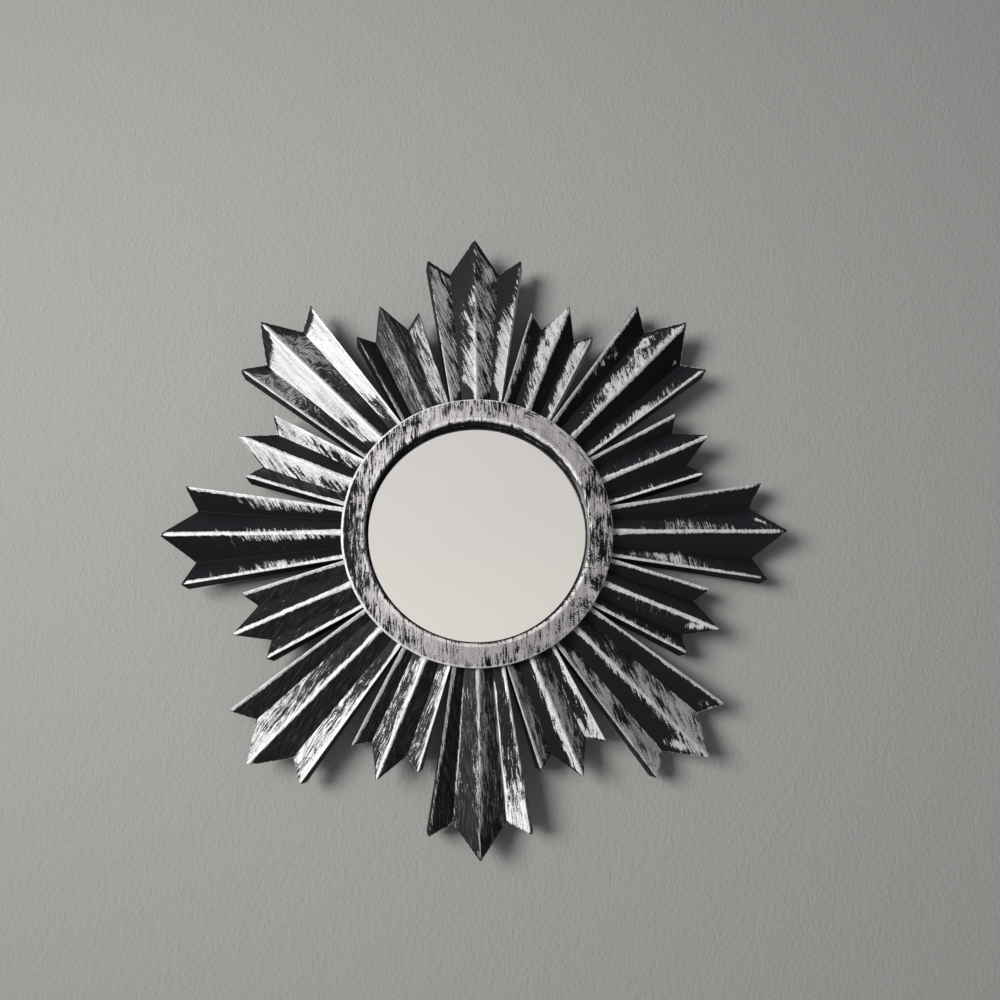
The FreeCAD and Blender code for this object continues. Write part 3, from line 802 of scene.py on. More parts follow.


# The rays go clockwise from the top. Their thin is partly painted shade: it greys the silver most on the
# rays at the top and to the right, which are turned from the light.
BRUSHWORK = {
    "long_ray_n": Brushwork(
        (Brushing.STREAKED, Brushing.FADING, Brushing.STREAKED, Brushing.FADING),
        heading=114.0, line=(0.95, 0.3), bare_tip=1.5 * MILLIMETRE, thin=0.28, edge=0.6, stroke=(2.2, 1.4),
        dabs=(
            Dab(0.85, 1.6, -0.25, 0.2, 0.5), Dab(0.88, 3.4, -0.25, 0.2, 0.5), Dab(0.8, 0.3, 0.15, 0.2, 0.3),
            Dab(0.35, 1.4, -0.15, 0.4, 0.4), Dab(0.35, 3.5, 0.08, 0.35, 0.45),
        ),
    ),
    "short_ray_nne": Brushwork(
        (Brushing.BRISTLE, Brushing.RIDGED, Brushing.BARE, Brushing.PATCHED),
        heading=100.0, line=(0.9, 0.7), thin=0.36, edge=0.6, stroke=(1.2, 1.2),
        dabs=(Dab(0.15, 1.2, -0.5, 0.3, 0.35), Dab(0.85, 3.4, 0.3, 0.2, 0.4)),
    ),
    "long_ray_ne": Brushwork(
        (Brushing.BARE, Brushing.PATCHED, Brushing.BARE, Brushing.BRISTLE),
        heading=98.0, line=(1.0, 0.95), bare_tip=2.0 * MILLIMETRE, thin=0.3, edge=0.7, stroke=(1.0, 1.1),
        dabs=(
            Dab(0.84, 1.3, 1.0, 0.03, 0.12), Dab(0.9, 1.15, 0.8, 0.03, 0.12),
            Dab(0.93, 2.75, 1.1, 0.025, 0.12), Dab(0.12, 1.6, -0.5, 0.15, 0.3),
            Dab(0.9, 1.7, -0.3, 0.1, 0.2), Dab(0.5, 0.3, 0.5, 0.3, 0.25),
            Dab(0.7, 0.6, 0.8, 0.03, 0.16), Dab(0.64, 0.5, 0.6, 0.03, 0.12),
        ),
    ),
    "short_ray_ene": Brushwork(
        (Brushing.BARE, Brushing.SPECKLED, Brushing.BARE, Brushing.SPECKLED),
        heading=102.0, line=(1.1, 0.95), thin=0.14,
    ),
    "long_ray_e": Brushwork(
        (Brushing.BARE, Brushing.SPECKLED, Brushing.BARE, Brushing.SPECKLED),
        heading=94.0, line=(1.0, 0.8), bare_tip=2.5 * MILLIMETRE, thin=0.26,
        dabs=(
            Dab(0.36, 3.4, 0.42, 0.24, 0.5), Dab(0.45, 1.7, 0.25, 0.2, 0.3), Dab(0.94, 1.6, 0.7, 0.03, 0.2),
        ),
    ),
    "short_ray_ese": Brushwork(
        (Brushing.BARE, Brushing.BARE, Brushing.SPECKLED, Brushing.SPECKLED),
        heading=84.0, line=(1.1, 1.0), thin=0.24,
        dabs=(Dab(0.9, 2.25, 0.6, 0.06, 0.25), Dab(0.8, 3.7, 0.3, 0.1, 0.25)),
    ),
    "long_ray_se": Brushwork(
        (Brushing.BARE, Brushing.OUTWARD, Brushing.FRINGED, Brushing.OUTWARD),
        heading=112.0, line=(1.0, 0.8), thin=0.42, edge=0.6, stroke=(1.6, 1.3),
        dabs=(
            Dab(0.93, 2.5, 0.9, 0.06, 0.35), Dab(0.95, 0.5, 0.5, 0.05, 0.4),
            Dab(0.62, 3.5, -0.45, 0.07, 0.4), Dab(0.42, 1.3, -0.5, 0.06, 0.35),
            Dab(0.66, 1.8, -0.4, 0.05, 0.2), Dab(0.3, 3.5, 0.2, 0.2, 0.4),
        ),
    ),
    "short_ray_sse": Brushwork(
        (Brushing.TOWARDS_TIP, Brushing.SATIN_PAINTED_SHEEN, Brushing.FRINGED, Brushing.SATIN_PAINTED_SHEEN),
        heading=106.0, line=(0.95, 0.85), thin=0.16, stroke=(1.4, 1.1),
        dabs=(
            Dab(0.45, 0.2, 0.4, 0.2, 0.2), Dab(0.8, 0.6, -0.5, 0.06, 0.12), Dab(0.7, 2.2, 0.3, 0.3, 0.25),
            Dab(0.55, 1.6, 0.24, 0.3, 0.4), Dab(0.6, 0.6, -0.2, 0.2, 0.3), Dab(0.5, 3.5, 0.15, 0.4, 0.5),
        ),
    ),
    "long_ray_s": Brushwork(
        (Brushing.TOWARDS_TIP, Brushing.SLATE_PAINTED_SHEEN, Brushing.SCRATCHED_PAINTED_SHEEN, Brushing.VEILED),
        heading=94.0, line=(0.75, 0.4), edge=0.42, line_thin=0.5, stroke=(1.5, 1.0),
        dabs=(
            Dab(0.45, 1.0, 0.7, 0.5, 0.05), Dab(0.5, 3.0, 0.55, 0.5, 0.05), Dab(0.62, 0.5, -0.15, 0.16, 0.5),
            Dab(0.6, 2.1, 0.2, 0.2, 0.15), Dab(0.4, 1.8, 0.16, 0.4, 0.15), Dab(0.95, 2.0, -0.2, 0.12, 0.5),
        ),
    ),
    "short_ray_ssw": Brushwork(
        (Brushing.STREAKED, Brushing.VEILED, Brushing.STREAKED, Brushing.VEILED),
        heading=68.0, line=(0.95, 0.9), thin=0.18, edge=0.5, stroke=(1.5, 1.0),
        dabs=(Dab(0.5, 0.5, -0.14, 0.8, 0.6), Dab(0.5, 2.5, -0.14, 0.8, 0.6)),
    ),
    "long_ray_sw": Brushwork(
        (Brushing.OUTWARD, Brushing.VEILED, Brushing.OUTWARD, Brushing.VEILED),
        heading=56.0, line=(1.0, 0.9), thin=0.06, edge=0.5, stroke=(1.5, 1.0),
        dabs=(Dab(0.5, 0.5, -0.08, 0.4, 0.5), Dab(0.5, 2.5, -0.2, 0.4, 0.5)),
    ),
    "short_ray_wsw": Brushwork(
        (Brushing.FAINT, Brushing.VEILED, Brushing.FAINT, Brushing.VEILED),
        heading=50.0, line=(1.1, 1.1), edge=0.0, stroke=(1.4, 1.0),
    ),
    "long_ray_w": Brushwork(
        (Brushing.SPECKLED, Brushing.BARE, Brushing.BARE, Brushing.NEAR_ROOT),
        heading=118.0, line=(1.1, 1.1), bare_tip=1.5 * MILLIMETRE, edge=-0.2, stroke=(1.2, 1.0),
        dabs=(
            Dab(0.35, 1.85, 0.6, 0.3, 0.2), Dab(0.5, 2.15, 0.4, 0.3, 0.15),
            Dab(0.42, 0.25, 0.36, 0.16, 0.35), Dab(0.3, 3.4, -0.14, 0.3, 0.5),
        ),
    ),
    "short_ray_wnw": Brushwork(
        (Brushing.VEILED, Brushing.DASHED, Brushing.BARE, Brushing.DASHED),
        heading=128.0, line=(1.1, 1.1), edge=0.6, stroke=(2.2, 1.9),
        dabs=(Dab(0.35, 1.3, -0.1, 0.4, 0.35), Dab(0.4, 3.4, -0.22, 0.4, 0.4)),
    ),
    "long_ray_nw": Brushwork(
        (Brushing.SWIRLED, Brushing.SILVER, Brushing.SWIRLED, Brushing.SILVER),
        heading=132.0, line=(1.0, 1.0), bare_tip=2.0 * MILLIMETRE, thin=0.15, edge=0.6, stroke=(2.2, 1.0),
        dabs=(
            Dab(0.74, 2.5, 0.15, 0.16, 0.6), Dab(0.7, 0.5, 0.15, 0.16, 0.6),
            Dab(0.97, 2.3, -0.9, 0.05, 0.5), Dab(0.97, 0.4, -0.6, 0.05, 0.5),
            Dab(0.97, 1.75, -1.0, 0.06, 0.35), Dab(0.98, 3.7, -0.9, 0.04, 0.4),
            Dab(0.28, 1.4, -0.46, 0.07, 0.4), Dab(0.2, 3.5, -0.32, 0.15, 0.45),
        ),
    ),
    "short_ray_nnw": Brushwork(
        (Brushing.BARE, Brushing.SATIN_PAINTED_SHEEN, Brushing.SATIN_PAINTED_SHEEN, Brushing.STREAKED),
        heading=112.0, line=(0.7, 0.3), bare_tip=1.2 * MILLIMETRE, thin=0.5, stroke=(1.8, 1.0),
        dabs=(Dab(0.35, 0.0, 0.35, 0.3, 0.2),),
    ),
}
RAY_TURN = 2 * math.pi / len(BRUSHWORK)


@dataclass(frozen=True)
class RayShape:
    """The sizes of one kind of ray, in metres. Rises are above the back board's front."""

    tip_radius: float
    tip_rise: float
    side_setback: float
    side_half_width: float
    side_rise: float
    notch_setback: float
    notch_rise: float


class RayKind(Enum):
    """The two kinds of ray."""

    LONG = RayShape(
        tip_radius=0.125, tip_rise=0.009, side_setback=0.0092, side_half_width=0.01965, side_rise=0.0083,
        notch_setback=0.0136, notch_rise=0.003,
    )
    SHORT = RayShape(
        tip_radius=0.10285, tip_rise=0.010, side_setback=0.00865, side_half_width=0.0138, side_rise=0.0096,
        notch_setback=0.01277, notch_rise=0.0056,
    )


@dataclass(frozen=True)
class Wave:
    """A wave over a sheet, with its radians per metre along and across it.

    The phase rate and the seed rate are how far a phase and a ray's number shift it.
    """

    along: float
    across: float
    strength: float = 1.0
    phase_rate: float = 1.0
    seed_rate: float = 0.0

    def height(self, along: np.ndarray, across: np.ndarray, phase: float, seed: int) -> np.ndarray:
        """Give the wave's height at places along and across the sheet."""
        shift = phase * self.phase_rate + seed * self.seed_rate
        return self.strength * np.sin(along * self.along + across * self.across + shift)


@dataclass
class Ray:
    """A folded sheet ray with three ridges, two valleys, bent-down flanks and a zig-zag end.

    Stations are the points across the fold. Each has the stretch that it lies on or the crease that it bends
    round, its part of the way along that stretch or round that bend, and whether it lies on a bend. The line
    span and the bare tip span are in shares of the ridges' rounding and of the brushwork's bare tip.
    """

    node: str
    turn: float
    kind: RayKind
    brushwork: Brushwork
    seed: int
    root_ridge_rise: float = 0.0116
    root_side_rise: float = 0.0111
    root_valley_rise: float = 0.0082
    root_gap: float = 0.00015
    valley_share: float = 0.54
    flank_lean: float = 0.0011
    flank_cut: float = 0.0015
    sheet: float = 0.001
    ridge_round: float = 0.0007
    valley_round: float = 0.0002
    inner_ridge_round: float = 0.0002
    inner_valley_round: float = 0.0009
    tip_round: float = 0.0006
    tip_points: int = 7
    edge_round: float = 0.00022
    edge_segments: int = 2
    edge_angle: float = 50.0
    rows: int = 72
    end_rounds: int = 12
    wobble: float = 0.00012
    wobble_waves: tuple[Wave, ...] = (
        Wave(95.0, 60.0, strength=0.65, seed_rate=1.7),
        Wave(210.0, -130.0, strength=0.35, phase_rate=2.3, seed_rate=0.9),
    )
    wobble_root_share: float = 0.15
    sink_phase: float = 2.0
    hair_length: float = 0.0036
    hair_width: float = 0.0005
    hair_shift: float = 3.1
    sway: float = 0.00015
    sway_waves: tuple[Wave, ...] = (Wave(330.0, 140.0, seed_rate=1.0), Wave(190.0, -260.0))
    fringe: float = 0.18
    fringe_reach: float = 0.0022
    line_droop: float = 0.0003
    side_droop: float = 0.0005
    line_root: float = 0.0005
    line_root_share: float = 0.3
    line_span: Span = (1.6, 0.8)
    # Painted shade near the ring: how much nearer the ridges the silver stays, and over what share of the
    # ray.
    root_painted_shade: float = 1.1
    root_painted_shade_share: float = 0.22
    reach_softness: float = 0.3
    untouched_load: float = -0.15
    veil_load: float = -0.3
    bare_tip_span: Span = (0.4, 1.6)
    bare_tip_load: float = -0.2
    bare_tip_line: float = 0.3
    tab_length: float = 0.007
    tab_hole_radius: float = 0.00115
    tab_side_points: int = 8
    flank_parts: tuple[float, ...] = (0.0, 0.08, 0.35, 0.65, 0.92, 1.0)
    facet_parts: tuple[float, ...] = (0.0, 0.05, 0.2, 0.4, 0.6, 0.8, 0.95, 1.0)
    ridge_parts: tuple[float, ...] = (0.25, 0.5, 0.75)
    valley_parts: tuple[float, ...] = (0.33, 0.67)

    def __post_init__(self) -> None:
        """Take the ray's seat from the frame, and list the stations across the fold."""
        self.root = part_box("long_ray_n")[0].z
        self.seat = -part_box("back_board")[0].y
        self.root_half_width = self.root * math.tan(RAY_TURN / 2) - self.root_gap
        self.shape = self.kind.value
        self.side_place = self.shape.tip_radius - self.shape.side_setback
        self.notch_place = self.shape.tip_radius - self.shape.notch_setback
        stations: list[tuple[int, float, bool]] = []
        for stretch in range(STRETCHES):
            if stretch > 0:
                bends = self.valley_parts if stretch in VALLEYS else self.ridge_parts
                stations += [(stretch, part, True) for part in bends]
            parts = self.flank_parts if stretch in FLANKS else self.facet_parts
            stations += [(stretch, part, False) for part in parts]
        self.stretches, self.parts, self.bends = (np.array(column) for column in zip(*stations))
        self.columns = len(stations)

    def along_crease(self, root: float, tip: float, tip_place: float, place: np.ndarray) -> np.ndarray:
        """Follow a straight crease from the root through its tip.

        Args:
            root: The value at the root.
            tip: The value at the tip.
            tip_place: The tip's place along the ray.
            place: The places along the ray.

        Returns:
            The values at those places.
        """
        return root + (tip - root) * (place - self.root) / (tip_place - self.root)

    def side(self, place: np.ndarray) -> np.ndarray:
        """Give the side ridges' distance from the axis at places along the ray."""
        return self.along_crease(self.root_half_width, self.shape.side_half_width, self.side_place, place)

    def foot(self, place: np.ndarray) -> np.ndarray:
        """Give the distance of the flanks' feet from the axis at places along the ray."""
        foot_tip = self.shape.side_half_width + self.flank_lean
        return self.along_crease(self.root_half_width, foot_tip, self.side_place, place)

    def creases(self, place: np.ndarray) -> np.ndarray:
        """Give the feet, ridges and valleys across the ray.

        Args:
            place: Places along the ray, one for each station.

        Returns:
            For each place, seven pairs of distance from the axis and height above the board.
        """
        shape = self.shape
        side_rise = self.along_crease(self.root_side_rise, shape.side_rise, self.side_place, place)
        valley_rise = self.along_crease(self.root_valley_rise, shape.notch_rise, self.notch_place, place)
        ridge_rise = self.along_crease(self.root_ridge_rise, shape.tip_rise, shape.tip_radius, place)
        side, foot = self.side(place), self.foot(place)
        valley = side * self.valley_share
        ground = np.zeros_like(place)
        across = np.stack([-foot, -side, -valley, ground, valley, side, foot], axis=-1)
        rises = [ground, side_rise, valley_rise, ridge_rise, valley_rise, side_rise, ground]
        return np.stack([across, np.stack(rises, axis=-1)], axis=-1)

    def inner_creases(self, creases: np.ndarray) -> np.ndarray:
        """Set the creases in by the sheet's thickness, with the feet still on the board's plane.

        Args:
            creases: For each place, the creases of the outer face.

        Returns:
            For each place, the creases of the inner face.
        """
        runs = np.diff(creases, axis=1)
        headings = runs / np.linalg.norm(runs, axis=-1, keepdims=True)
        inward = np.stack([headings[..., 1], -headings[..., 0]], axis=-1)
        before, after = inward[:, :-1], inward[:, 1:]
        likeness = (before * after).sum(axis=-1, keepdims=True)
        inner = creases.copy()
        inner[:, 1:-1] += self.sheet * (before + after) / (1.0 + likeness)
        for end in (0, -1):
            inner[:, end, 0] += self.sheet / headings[:, end, 1]
        return inner

    def fold(self, place: np.ndarray, inner: bool = False) -> np.ndarray:
        """Give the rounded fold, with each station at a place of its own along the ray.

        Args:
            place: One place for each station.
            inner: Whether the sheet's inner face is wanted, not its outer one.

        Returns:
            For each station, its distance from the axis and its height above the board.
        """
        creases = self.creases(place)
        ridge, valley = self.ridge_round, self.valley_round
        if inner:
            creases = self.inner_creases(creases)
            ridge, valley = self.inner_ridge_round, self.inner_valley_round
        runs = np.diff(creases, axis=1)
        headings = runs / np.linalg.norm(runs, axis=-1, keepdims=True)
        rounds = np.array([0.0, ridge, valley, ridge, valley, ridge, 0.0])[:, None]
        stretch_starts = creases[:, :-1] + headings * rounds[:-1]
        stretch_ends = creases[:, 1:] - headings * rounds[1:]
        rows, part = np.arange(self.columns), self.parts[:, None]
        start, end = stretch_starts[rows, self.stretches], stretch_ends[rows, self.stretches]
        straight = (1 - part) * start + part * end
        rounded = bend(stretch_ends[rows, self.stretches - 1], creases[rows, self.stretches], start, part)
        return np.where(self.bends[:, None], rounded, straight)

    def end_line(self) -> tuple[np.ndarray, np.ndarray]:
        """Draw the zig-zag end with rounded tips and notches.

        Returns:
            Distances from the axis, rising, and the places along the ray where the sheet ends there.
        """
        side = self.shape.side_half_width
        notch = float(self.side(np.array(self.notch_place))) * self.valley_share
        half = [(0.0, self.shape.tip_radius), (notch, self.notch_place), (side, self.side_place),
                (side + self.flank_lean, self.side_place - self.flank_cut)]
        corners = np.array([(-across, place) for across, place in reversed(half[1:])] + half)
        runs = np.diff(corners, axis=0)
        headings = runs / np.linalg.norm(runs, axis=1, keepdims=True)
        line = [corners[0]]
        for corner, heading_in, heading_out in zip(corners[1:-1], headings[:-1], headings[1:]):
            start = corner - heading_in * self.tip_round
            end = corner + heading_out * self.tip_round
            line += [point for _, point in round_corner(start, corner, end, self.tip_points)]
        line.append(corners[-1])
        across, place = np.array(line).T
        return across, place

    def ends(self, inner: bool = False) -> np.ndarray:
        """Find where the stations meet the zig-zag end, in rounds that come closer and closer.

        Args:
            inner: Whether the sheet's inner face is wanted, not its outer one.

        Returns:
            Each station's last place along the ray.
        """
        across, place = self.end_line()
        found = np.full(self.columns, self.notch_place)
        for _ in range(self.end_rounds):
            found = np.interp(self.fold(found, inner)[:, 0], across, place)
        return found

    def unevenness(
        self, share: float, place: np.ndarray, section: np.ndarray, side: np.ndarray,
    ) -> np.ndarray:
        """Give the small uneven bends of one row of the sheet.

        Args:
            share: The way along the ray, from 0 at the root to 1 at the end.
            place: Each station's place along the ray.
            section: Each station's distance from the axis and height above the board.
            side: The side ridges' distance from the axis at each station's place.

        Returns:
            How far each station is moved across and up.
        """
        across, rise = section.T
        loose = smooth_step(0.0, self.wobble_root_share, np.array(share)) * self.wobble
        waves = self.wobble_waves
        aside = sum(wave.height(place, across, 0.0, self.seed) for wave in waves) * loose
        aside = aside * (np.abs(across) < side - self.ridge_round)
        depth = sum(wave.height(place, across + aside, self.sink_phase, self.seed) for wave in waves)
        sunk = (depth * 0.5 + 0.5) * loose * (rise > 0)
        return np.stack([aside, -sunk], axis=-1)

    def coats(self) -> list[Coat]:
        """Give the coat of each stretch across the ray, from flank to flank."""
        flank = Brushing.FLANK.value
        return [flank, *(facet.value for facet in self.brushwork.facets), flank]

    def loads(self, share: float, stretches: np.ndarray, parts: np.ndarray) -> np.ndarray:
        """Give the load of silver on stretches across the ray.

        Args:
            share: The way along the ray, from 0 at the root to 1 at the end.
            stretches: The stretches, counted from the anticlockwise flank.
            parts: The part of the way across each stretch.

        Returns:
            The load on each stretch at that part.
        """
        cover = np.array([coat.cover(share) for coat in self.coats()])[stretches]
        # Painted shade: near the ring the brush reaches less far from the ridges, so the valleys there stay
        # black where shade falls under the ring.
        root_shade = self.root_painted_shade * smooth_step(self.root_painted_shade_share, 0.0, np.array(share))
        reach = np.array([coat.reach for coat in self.coats()])[stretches] - root_shade
        from_ridge = np.where(np.isin(stretches, FALLING_FACETS), parts, 1.0 - parts)
        touched = smooth_step(reach + self.reach_softness, reach - self.reach_softness, from_ridge)
        return cover * touched + self.untouched_load * (1.0 - touched)

    def coat_numbers(self, share: float) -> dict[str, np.ndarray]:
        """Work out how each station is coated at a share of the way along the ray.

        Args:
            share: The way along, from 0 at the root to 1 at the end.

        Returns:
            For each station, the load of silver, the veil, how much the silver is greyed as wiped off and as
            painted shade, the share of dabs and how matt the black is.
        """
        before = self.loads(share, self.stretches - 1, np.ones(self.columns))
        after = self.loads(share, self.stretches, np.zeros(self.columns))
        load = np.where(self.bends, (before + after) / 2, self.loads(share, self.stretches, self.parts))
        # The first half of a bend belongs to the stretch before it.
        owners = self.stretches - (self.bends & (self.parts < 0.5))
        veil, thin, swirl, dull = (
            np.array([getattr(coat, name) for coat in self.coats()])[owners]
            for name in ("veil", "thin", "swirl", "dull")
        )
        veil = veil * smooth_step(self.veil_load, 0.0, load)
        spots = self.stretches - 1 + np.where(self.bends, 0.0, self.parts)
        return {
            "load": load + sum(dab.spread(share, spots) for dab in self.brushwork.dabs),
            "veil": veil,
            # The ray's own thin is partly painted shade, greying the silver on rays turned from the light.
            "thin": 1.0 - (1.0 - thin) * (1.0 - self.brushwork.thin),
            "swirl": swirl,
            "dull": np.where(self.bends & np.isin(self.stretches, VALLEYS), 1.0, dull),
        }

    def paint_numbers(
        self, share: float, left: np.ndarray, section: np.ndarray, ridges: np.ndarray,
    ) -> dict[str, np.ndarray]:
        """Work out all the numbers that the paint reads on one row of the sheet.

        Args:
            share: The way along the ray, from 0 at the root to 1 at the end.
            left: How far each station still is from the end.
            section: Each station's distance from the axis and height above the board.
            ridges: The three ridges in the section at each station's place.

        Returns:
            The numbers by their names, one for each station.
        """
        work = self.brushwork
        away = section[:, None] - ridges
        distances = np.hypot(away[..., 0], away[..., 1])
        nearest = distances.argmin(axis=1)
        distance = distances.min(axis=1)
        droop = np.array([self.side_droop, self.line_droop, -self.side_droop])[nearest]
        droop = droop * np.sign(away[np.arange(self.columns), nearest, 0])
        widened = self.line_root * smooth_step(self.line_root_share, 0.0, np.array(share))
        line = np.interp(share, (0.0, 1.0), work.line)
        bare_from, bare_to = (work.bare_tip * factor for factor in self.bare_tip_span)
        inked = smooth_step(bare_from, bare_to, left)
        numbers = self.coat_numbers(share)
        fringe = self.fringe * line * np.exp(-(distance / self.fringe_reach) ** 2)
        load = (numbers["load"] + fringe) * inked + self.bare_tip_load * (1.0 - inked)
        line_from, line_to = (self.ridge_round * factor for factor in self.line_span)
        on_line = smooth_step(line_from, line_to, distance)
        line_thin = max(work.thin, work.line_thin)
        numbers["load"] = np.full(self.columns, work.edge) if share == 1.0 else load
        numbers["veil"] = numbers["veil"] * inked
        numbers["thin"] = numbers["thin"] + (line_thin - numbers["thin"]) * on_line
        numbers["crest"] = distance - droop - widened
        numbers["line"] = line * (self.bare_tip_line + (1.0 - self.bare_tip_line) * inked)
        return numbers

    def stroke_places(self, points: np.ndarray) -> np.ndarray:
        """Give the places along and across the brush strokes.

        Args:
            points: Points of the ray in the frame.

        Returns:
            For each point, its place along and across the strokes and the ray's own number.
        """
        x, z = points[:, 0], points[:, 2]
        heading = math.radians(self.brushwork.heading)
        along = x * math.cos(heading) + z * math.sin(heading)
        beside = z * math.cos(heading) - x * math.sin(heading)
        ripple = sum(wave.height(along, beside, 0.0, self.seed) for wave in self.sway_waves)
        beside = beside + ripple * self.sway
        number = np.full_like(x, self.seed * self.hair_shift)
        length, width = self.brushwork.stroke
        along, beside = along / (self.hair_length * length), beside / (self.hair_width * width)
        return np.stack([along, beside, number], axis=-1)

    def placed(self, place: np.ndarray, section: np.ndarray) -> np.ndarray:
        """Turn places on the ray into points of the frame.

        Args:
            place: The places along the ray.
            section: The distances from the axis and the heights above the board.

        Returns:
            The points.
        """
        sine, cosine = math.sin(self.turn), math.cos(self.turn)
        across, rise = section.T
        right = place * sine + across * cosine
        up = place * cosine - across * sine
        return np.stack([right, -(self.seat + rise), up], axis=-1)

    def tab_points(self) -> np.ndarray:
        """Draw the flat tab at the root, between its outline and its screw hole.

        Returns:
            The points of the upper face, in pairs on the outline and on the hole, then of the lower face.
        """
        end = self.root + self.tab_length
        near, far = self.foot(np.array([self.root, end])) - self.sheet / 2
        corners = np.array([(-near, self.root), (near, self.root), (far, end), (-far, end)])
        following = np.roll(corners, -1, axis=0)
        shares = np.linspace(0.0, 1.0, self.tab_side_points, endpoint=False)[:, None]
        sides = [first + (last - first) * shares for first, last in zip(corners, following)]
        outline = np.concatenate(sides)
        middle = np.array([0.0, self.root + self.tab_length / 2])
        away = outline - middle
        hole = middle + away / np.linalg.norm(away, axis=1, keepdims=True) * self.tab_hole_radius
        across, place = np.stack([outline, hole], axis=1).reshape(-1, 2).T
        faces = [self.placed(place, np.stack([across, np.full_like(across, rise)], axis=-1))
                 for rise in (self.sheet, 0.0)]
        return np.concatenate(faces)

    def tab_faces(self, start: int, count: int) -> tuple[list[Face], list[Face]]:
        """List the faces of the floor tab.

        Args:
            start: The number of the tab's first point.
            count: The number of its points.

        Returns:
            The faces above and round the edges, and the faces below.
        """
        half = count // 2
        outer, inner = [], []
        for spot in range(0, half, 2):
            this, following = start + spot, start + (spot + 2) % half
            under, following_under = this + half, following + half
            outer += [(this, following, following + 1, this + 1), (following, this, under, following_under),
                      (this + 1, following + 1, following_under + 1, under + 1)]
            inner.append((under, under + 1, following_under + 1, following_under))
        return outer, inner

    def sheet_faces(self) -> tuple[list[Face], list[Face]]:
        """List the faces of the folded sheet, whose outer points are followed by its inner ones.

        Returns:
            The faces outside and round the edge, and the faces inside.
        """
        columns = self.columns
        under = columns * (self.rows + 1)
        outer, inner = [], []
        for row in range(self.rows):
            for first in range(row * columns, row * columns + columns - 1):
                beyond = first + columns
                outer.append((first, first + 1, beyond + 1, beyond))
                inner.append((under + first, under + beyond, under + beyond + 1, under + first + 1))
        row_starts = [row * columns for row in range(self.rows + 1)]
        border = list(range(columns)) + [start + columns - 1 for start in row_starts[1:]]
        border += [row_starts[-1] + column for column in range(columns - 2, -1, -1)] + row_starts[-2:0:-1]
        for first, second in zip(border, border[1:] + border[:1]):
            outer.append((second, first, under + first, under + second))
        return outer, inner

    def build(self) -> bpy.types.Object:
        """Make the ray's mesh with the numbers that its paint reads.

        Returns:
            The ray's piece.
        """
        ends, inner_ends = self.ends(), self.ends(inner=True)
        outside, inside, painted = [], [], []
        for row in range(self.rows + 1):
            share = row / self.rows
            place = self.root + (ends - self.root) * share
            inner_place = self.root + (inner_ends - self.root) * share
            section = self.fold(place)
            ridges = self.creases(place)[:, RIDGES]
            painted.append(self.paint_numbers(share, ends - place, section, ridges))
            shift = self.unevenness(share, place, section, ridges[:, -1, 0])
            outside.append(self.placed(place, section + shift))
            inside.append(self.placed(inner_place, self.fold(inner_place, inner=True) + shift))
        front, back, tab = np.concatenate(outside), np.concatenate(inside), self.tab_points()
        faces, inner_faces = self.sheet_faces()
        tab_faces, tab_under = self.tab_faces(len(front) + len(back), len(tab))
        faces += tab_faces
        inner_faces += tab_under
        mesh = smooth_mesh(self.node + "_sheet", np.concatenate([front, back, tab]), faces + inner_faces)
        mesh.polygons.foreach_set("material_index", [0] * len(faces) + [1] * len(inner_faces))
        # The tab is plain matt black: it has no silver and is far from any ridge.
        for name in painted[0]:
            values = np.concatenate([numbers[name] for numbers in painted])
            plain = np.full(len(tab), 1.0 if name in ("crest", "dull") else 0.0)
            carry_numbers(mesh, name, np.concatenate([values, values, plain]))
        carry_vectors(mesh, "hair", self.stroke_places(np.concatenate([front, front, tab])))
        return add_object(self.node + "_folded", mesh)

    def dress(
        self, piece: bpy.types.Object, outside: bpy.types.Material, inside: bpy.types.Material,
    ) -> None:
        """Give the sheet its rounded edges and its paint, and seat it in the frame.

        Args:
            piece: The ray's piece.
            outside: The paint of the front.
            inside: The paint of the hollow back.
        """
        piece.data.materials.append(outside)
        piece.data.materials.append(inside)
        edge = piece.modifiers.new("edge", "BEVEL")
        edge.width = self.edge_round
        edge.segments = self.edge_segments
        edge.limit_method = "ANGLE"
        edge.angle_limit = math.radians(self.edge_angle)
        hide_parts(self.node)
        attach(piece, BODY)


@dataclass(frozen=True)
class BrushedArc:
    """The paint at one place round the ring, whose angle is in degrees clockwise from the top.

    The cover is the share of silver, thin the share of it that was wiped off again, swirl the share of short
    curved dabs, and lack the silver that is added at the mouth and missing at the rim.
    """

    angle: float
    cover: float
    thin: float
    swirl: float = 0.0
    lack: float = 0.08


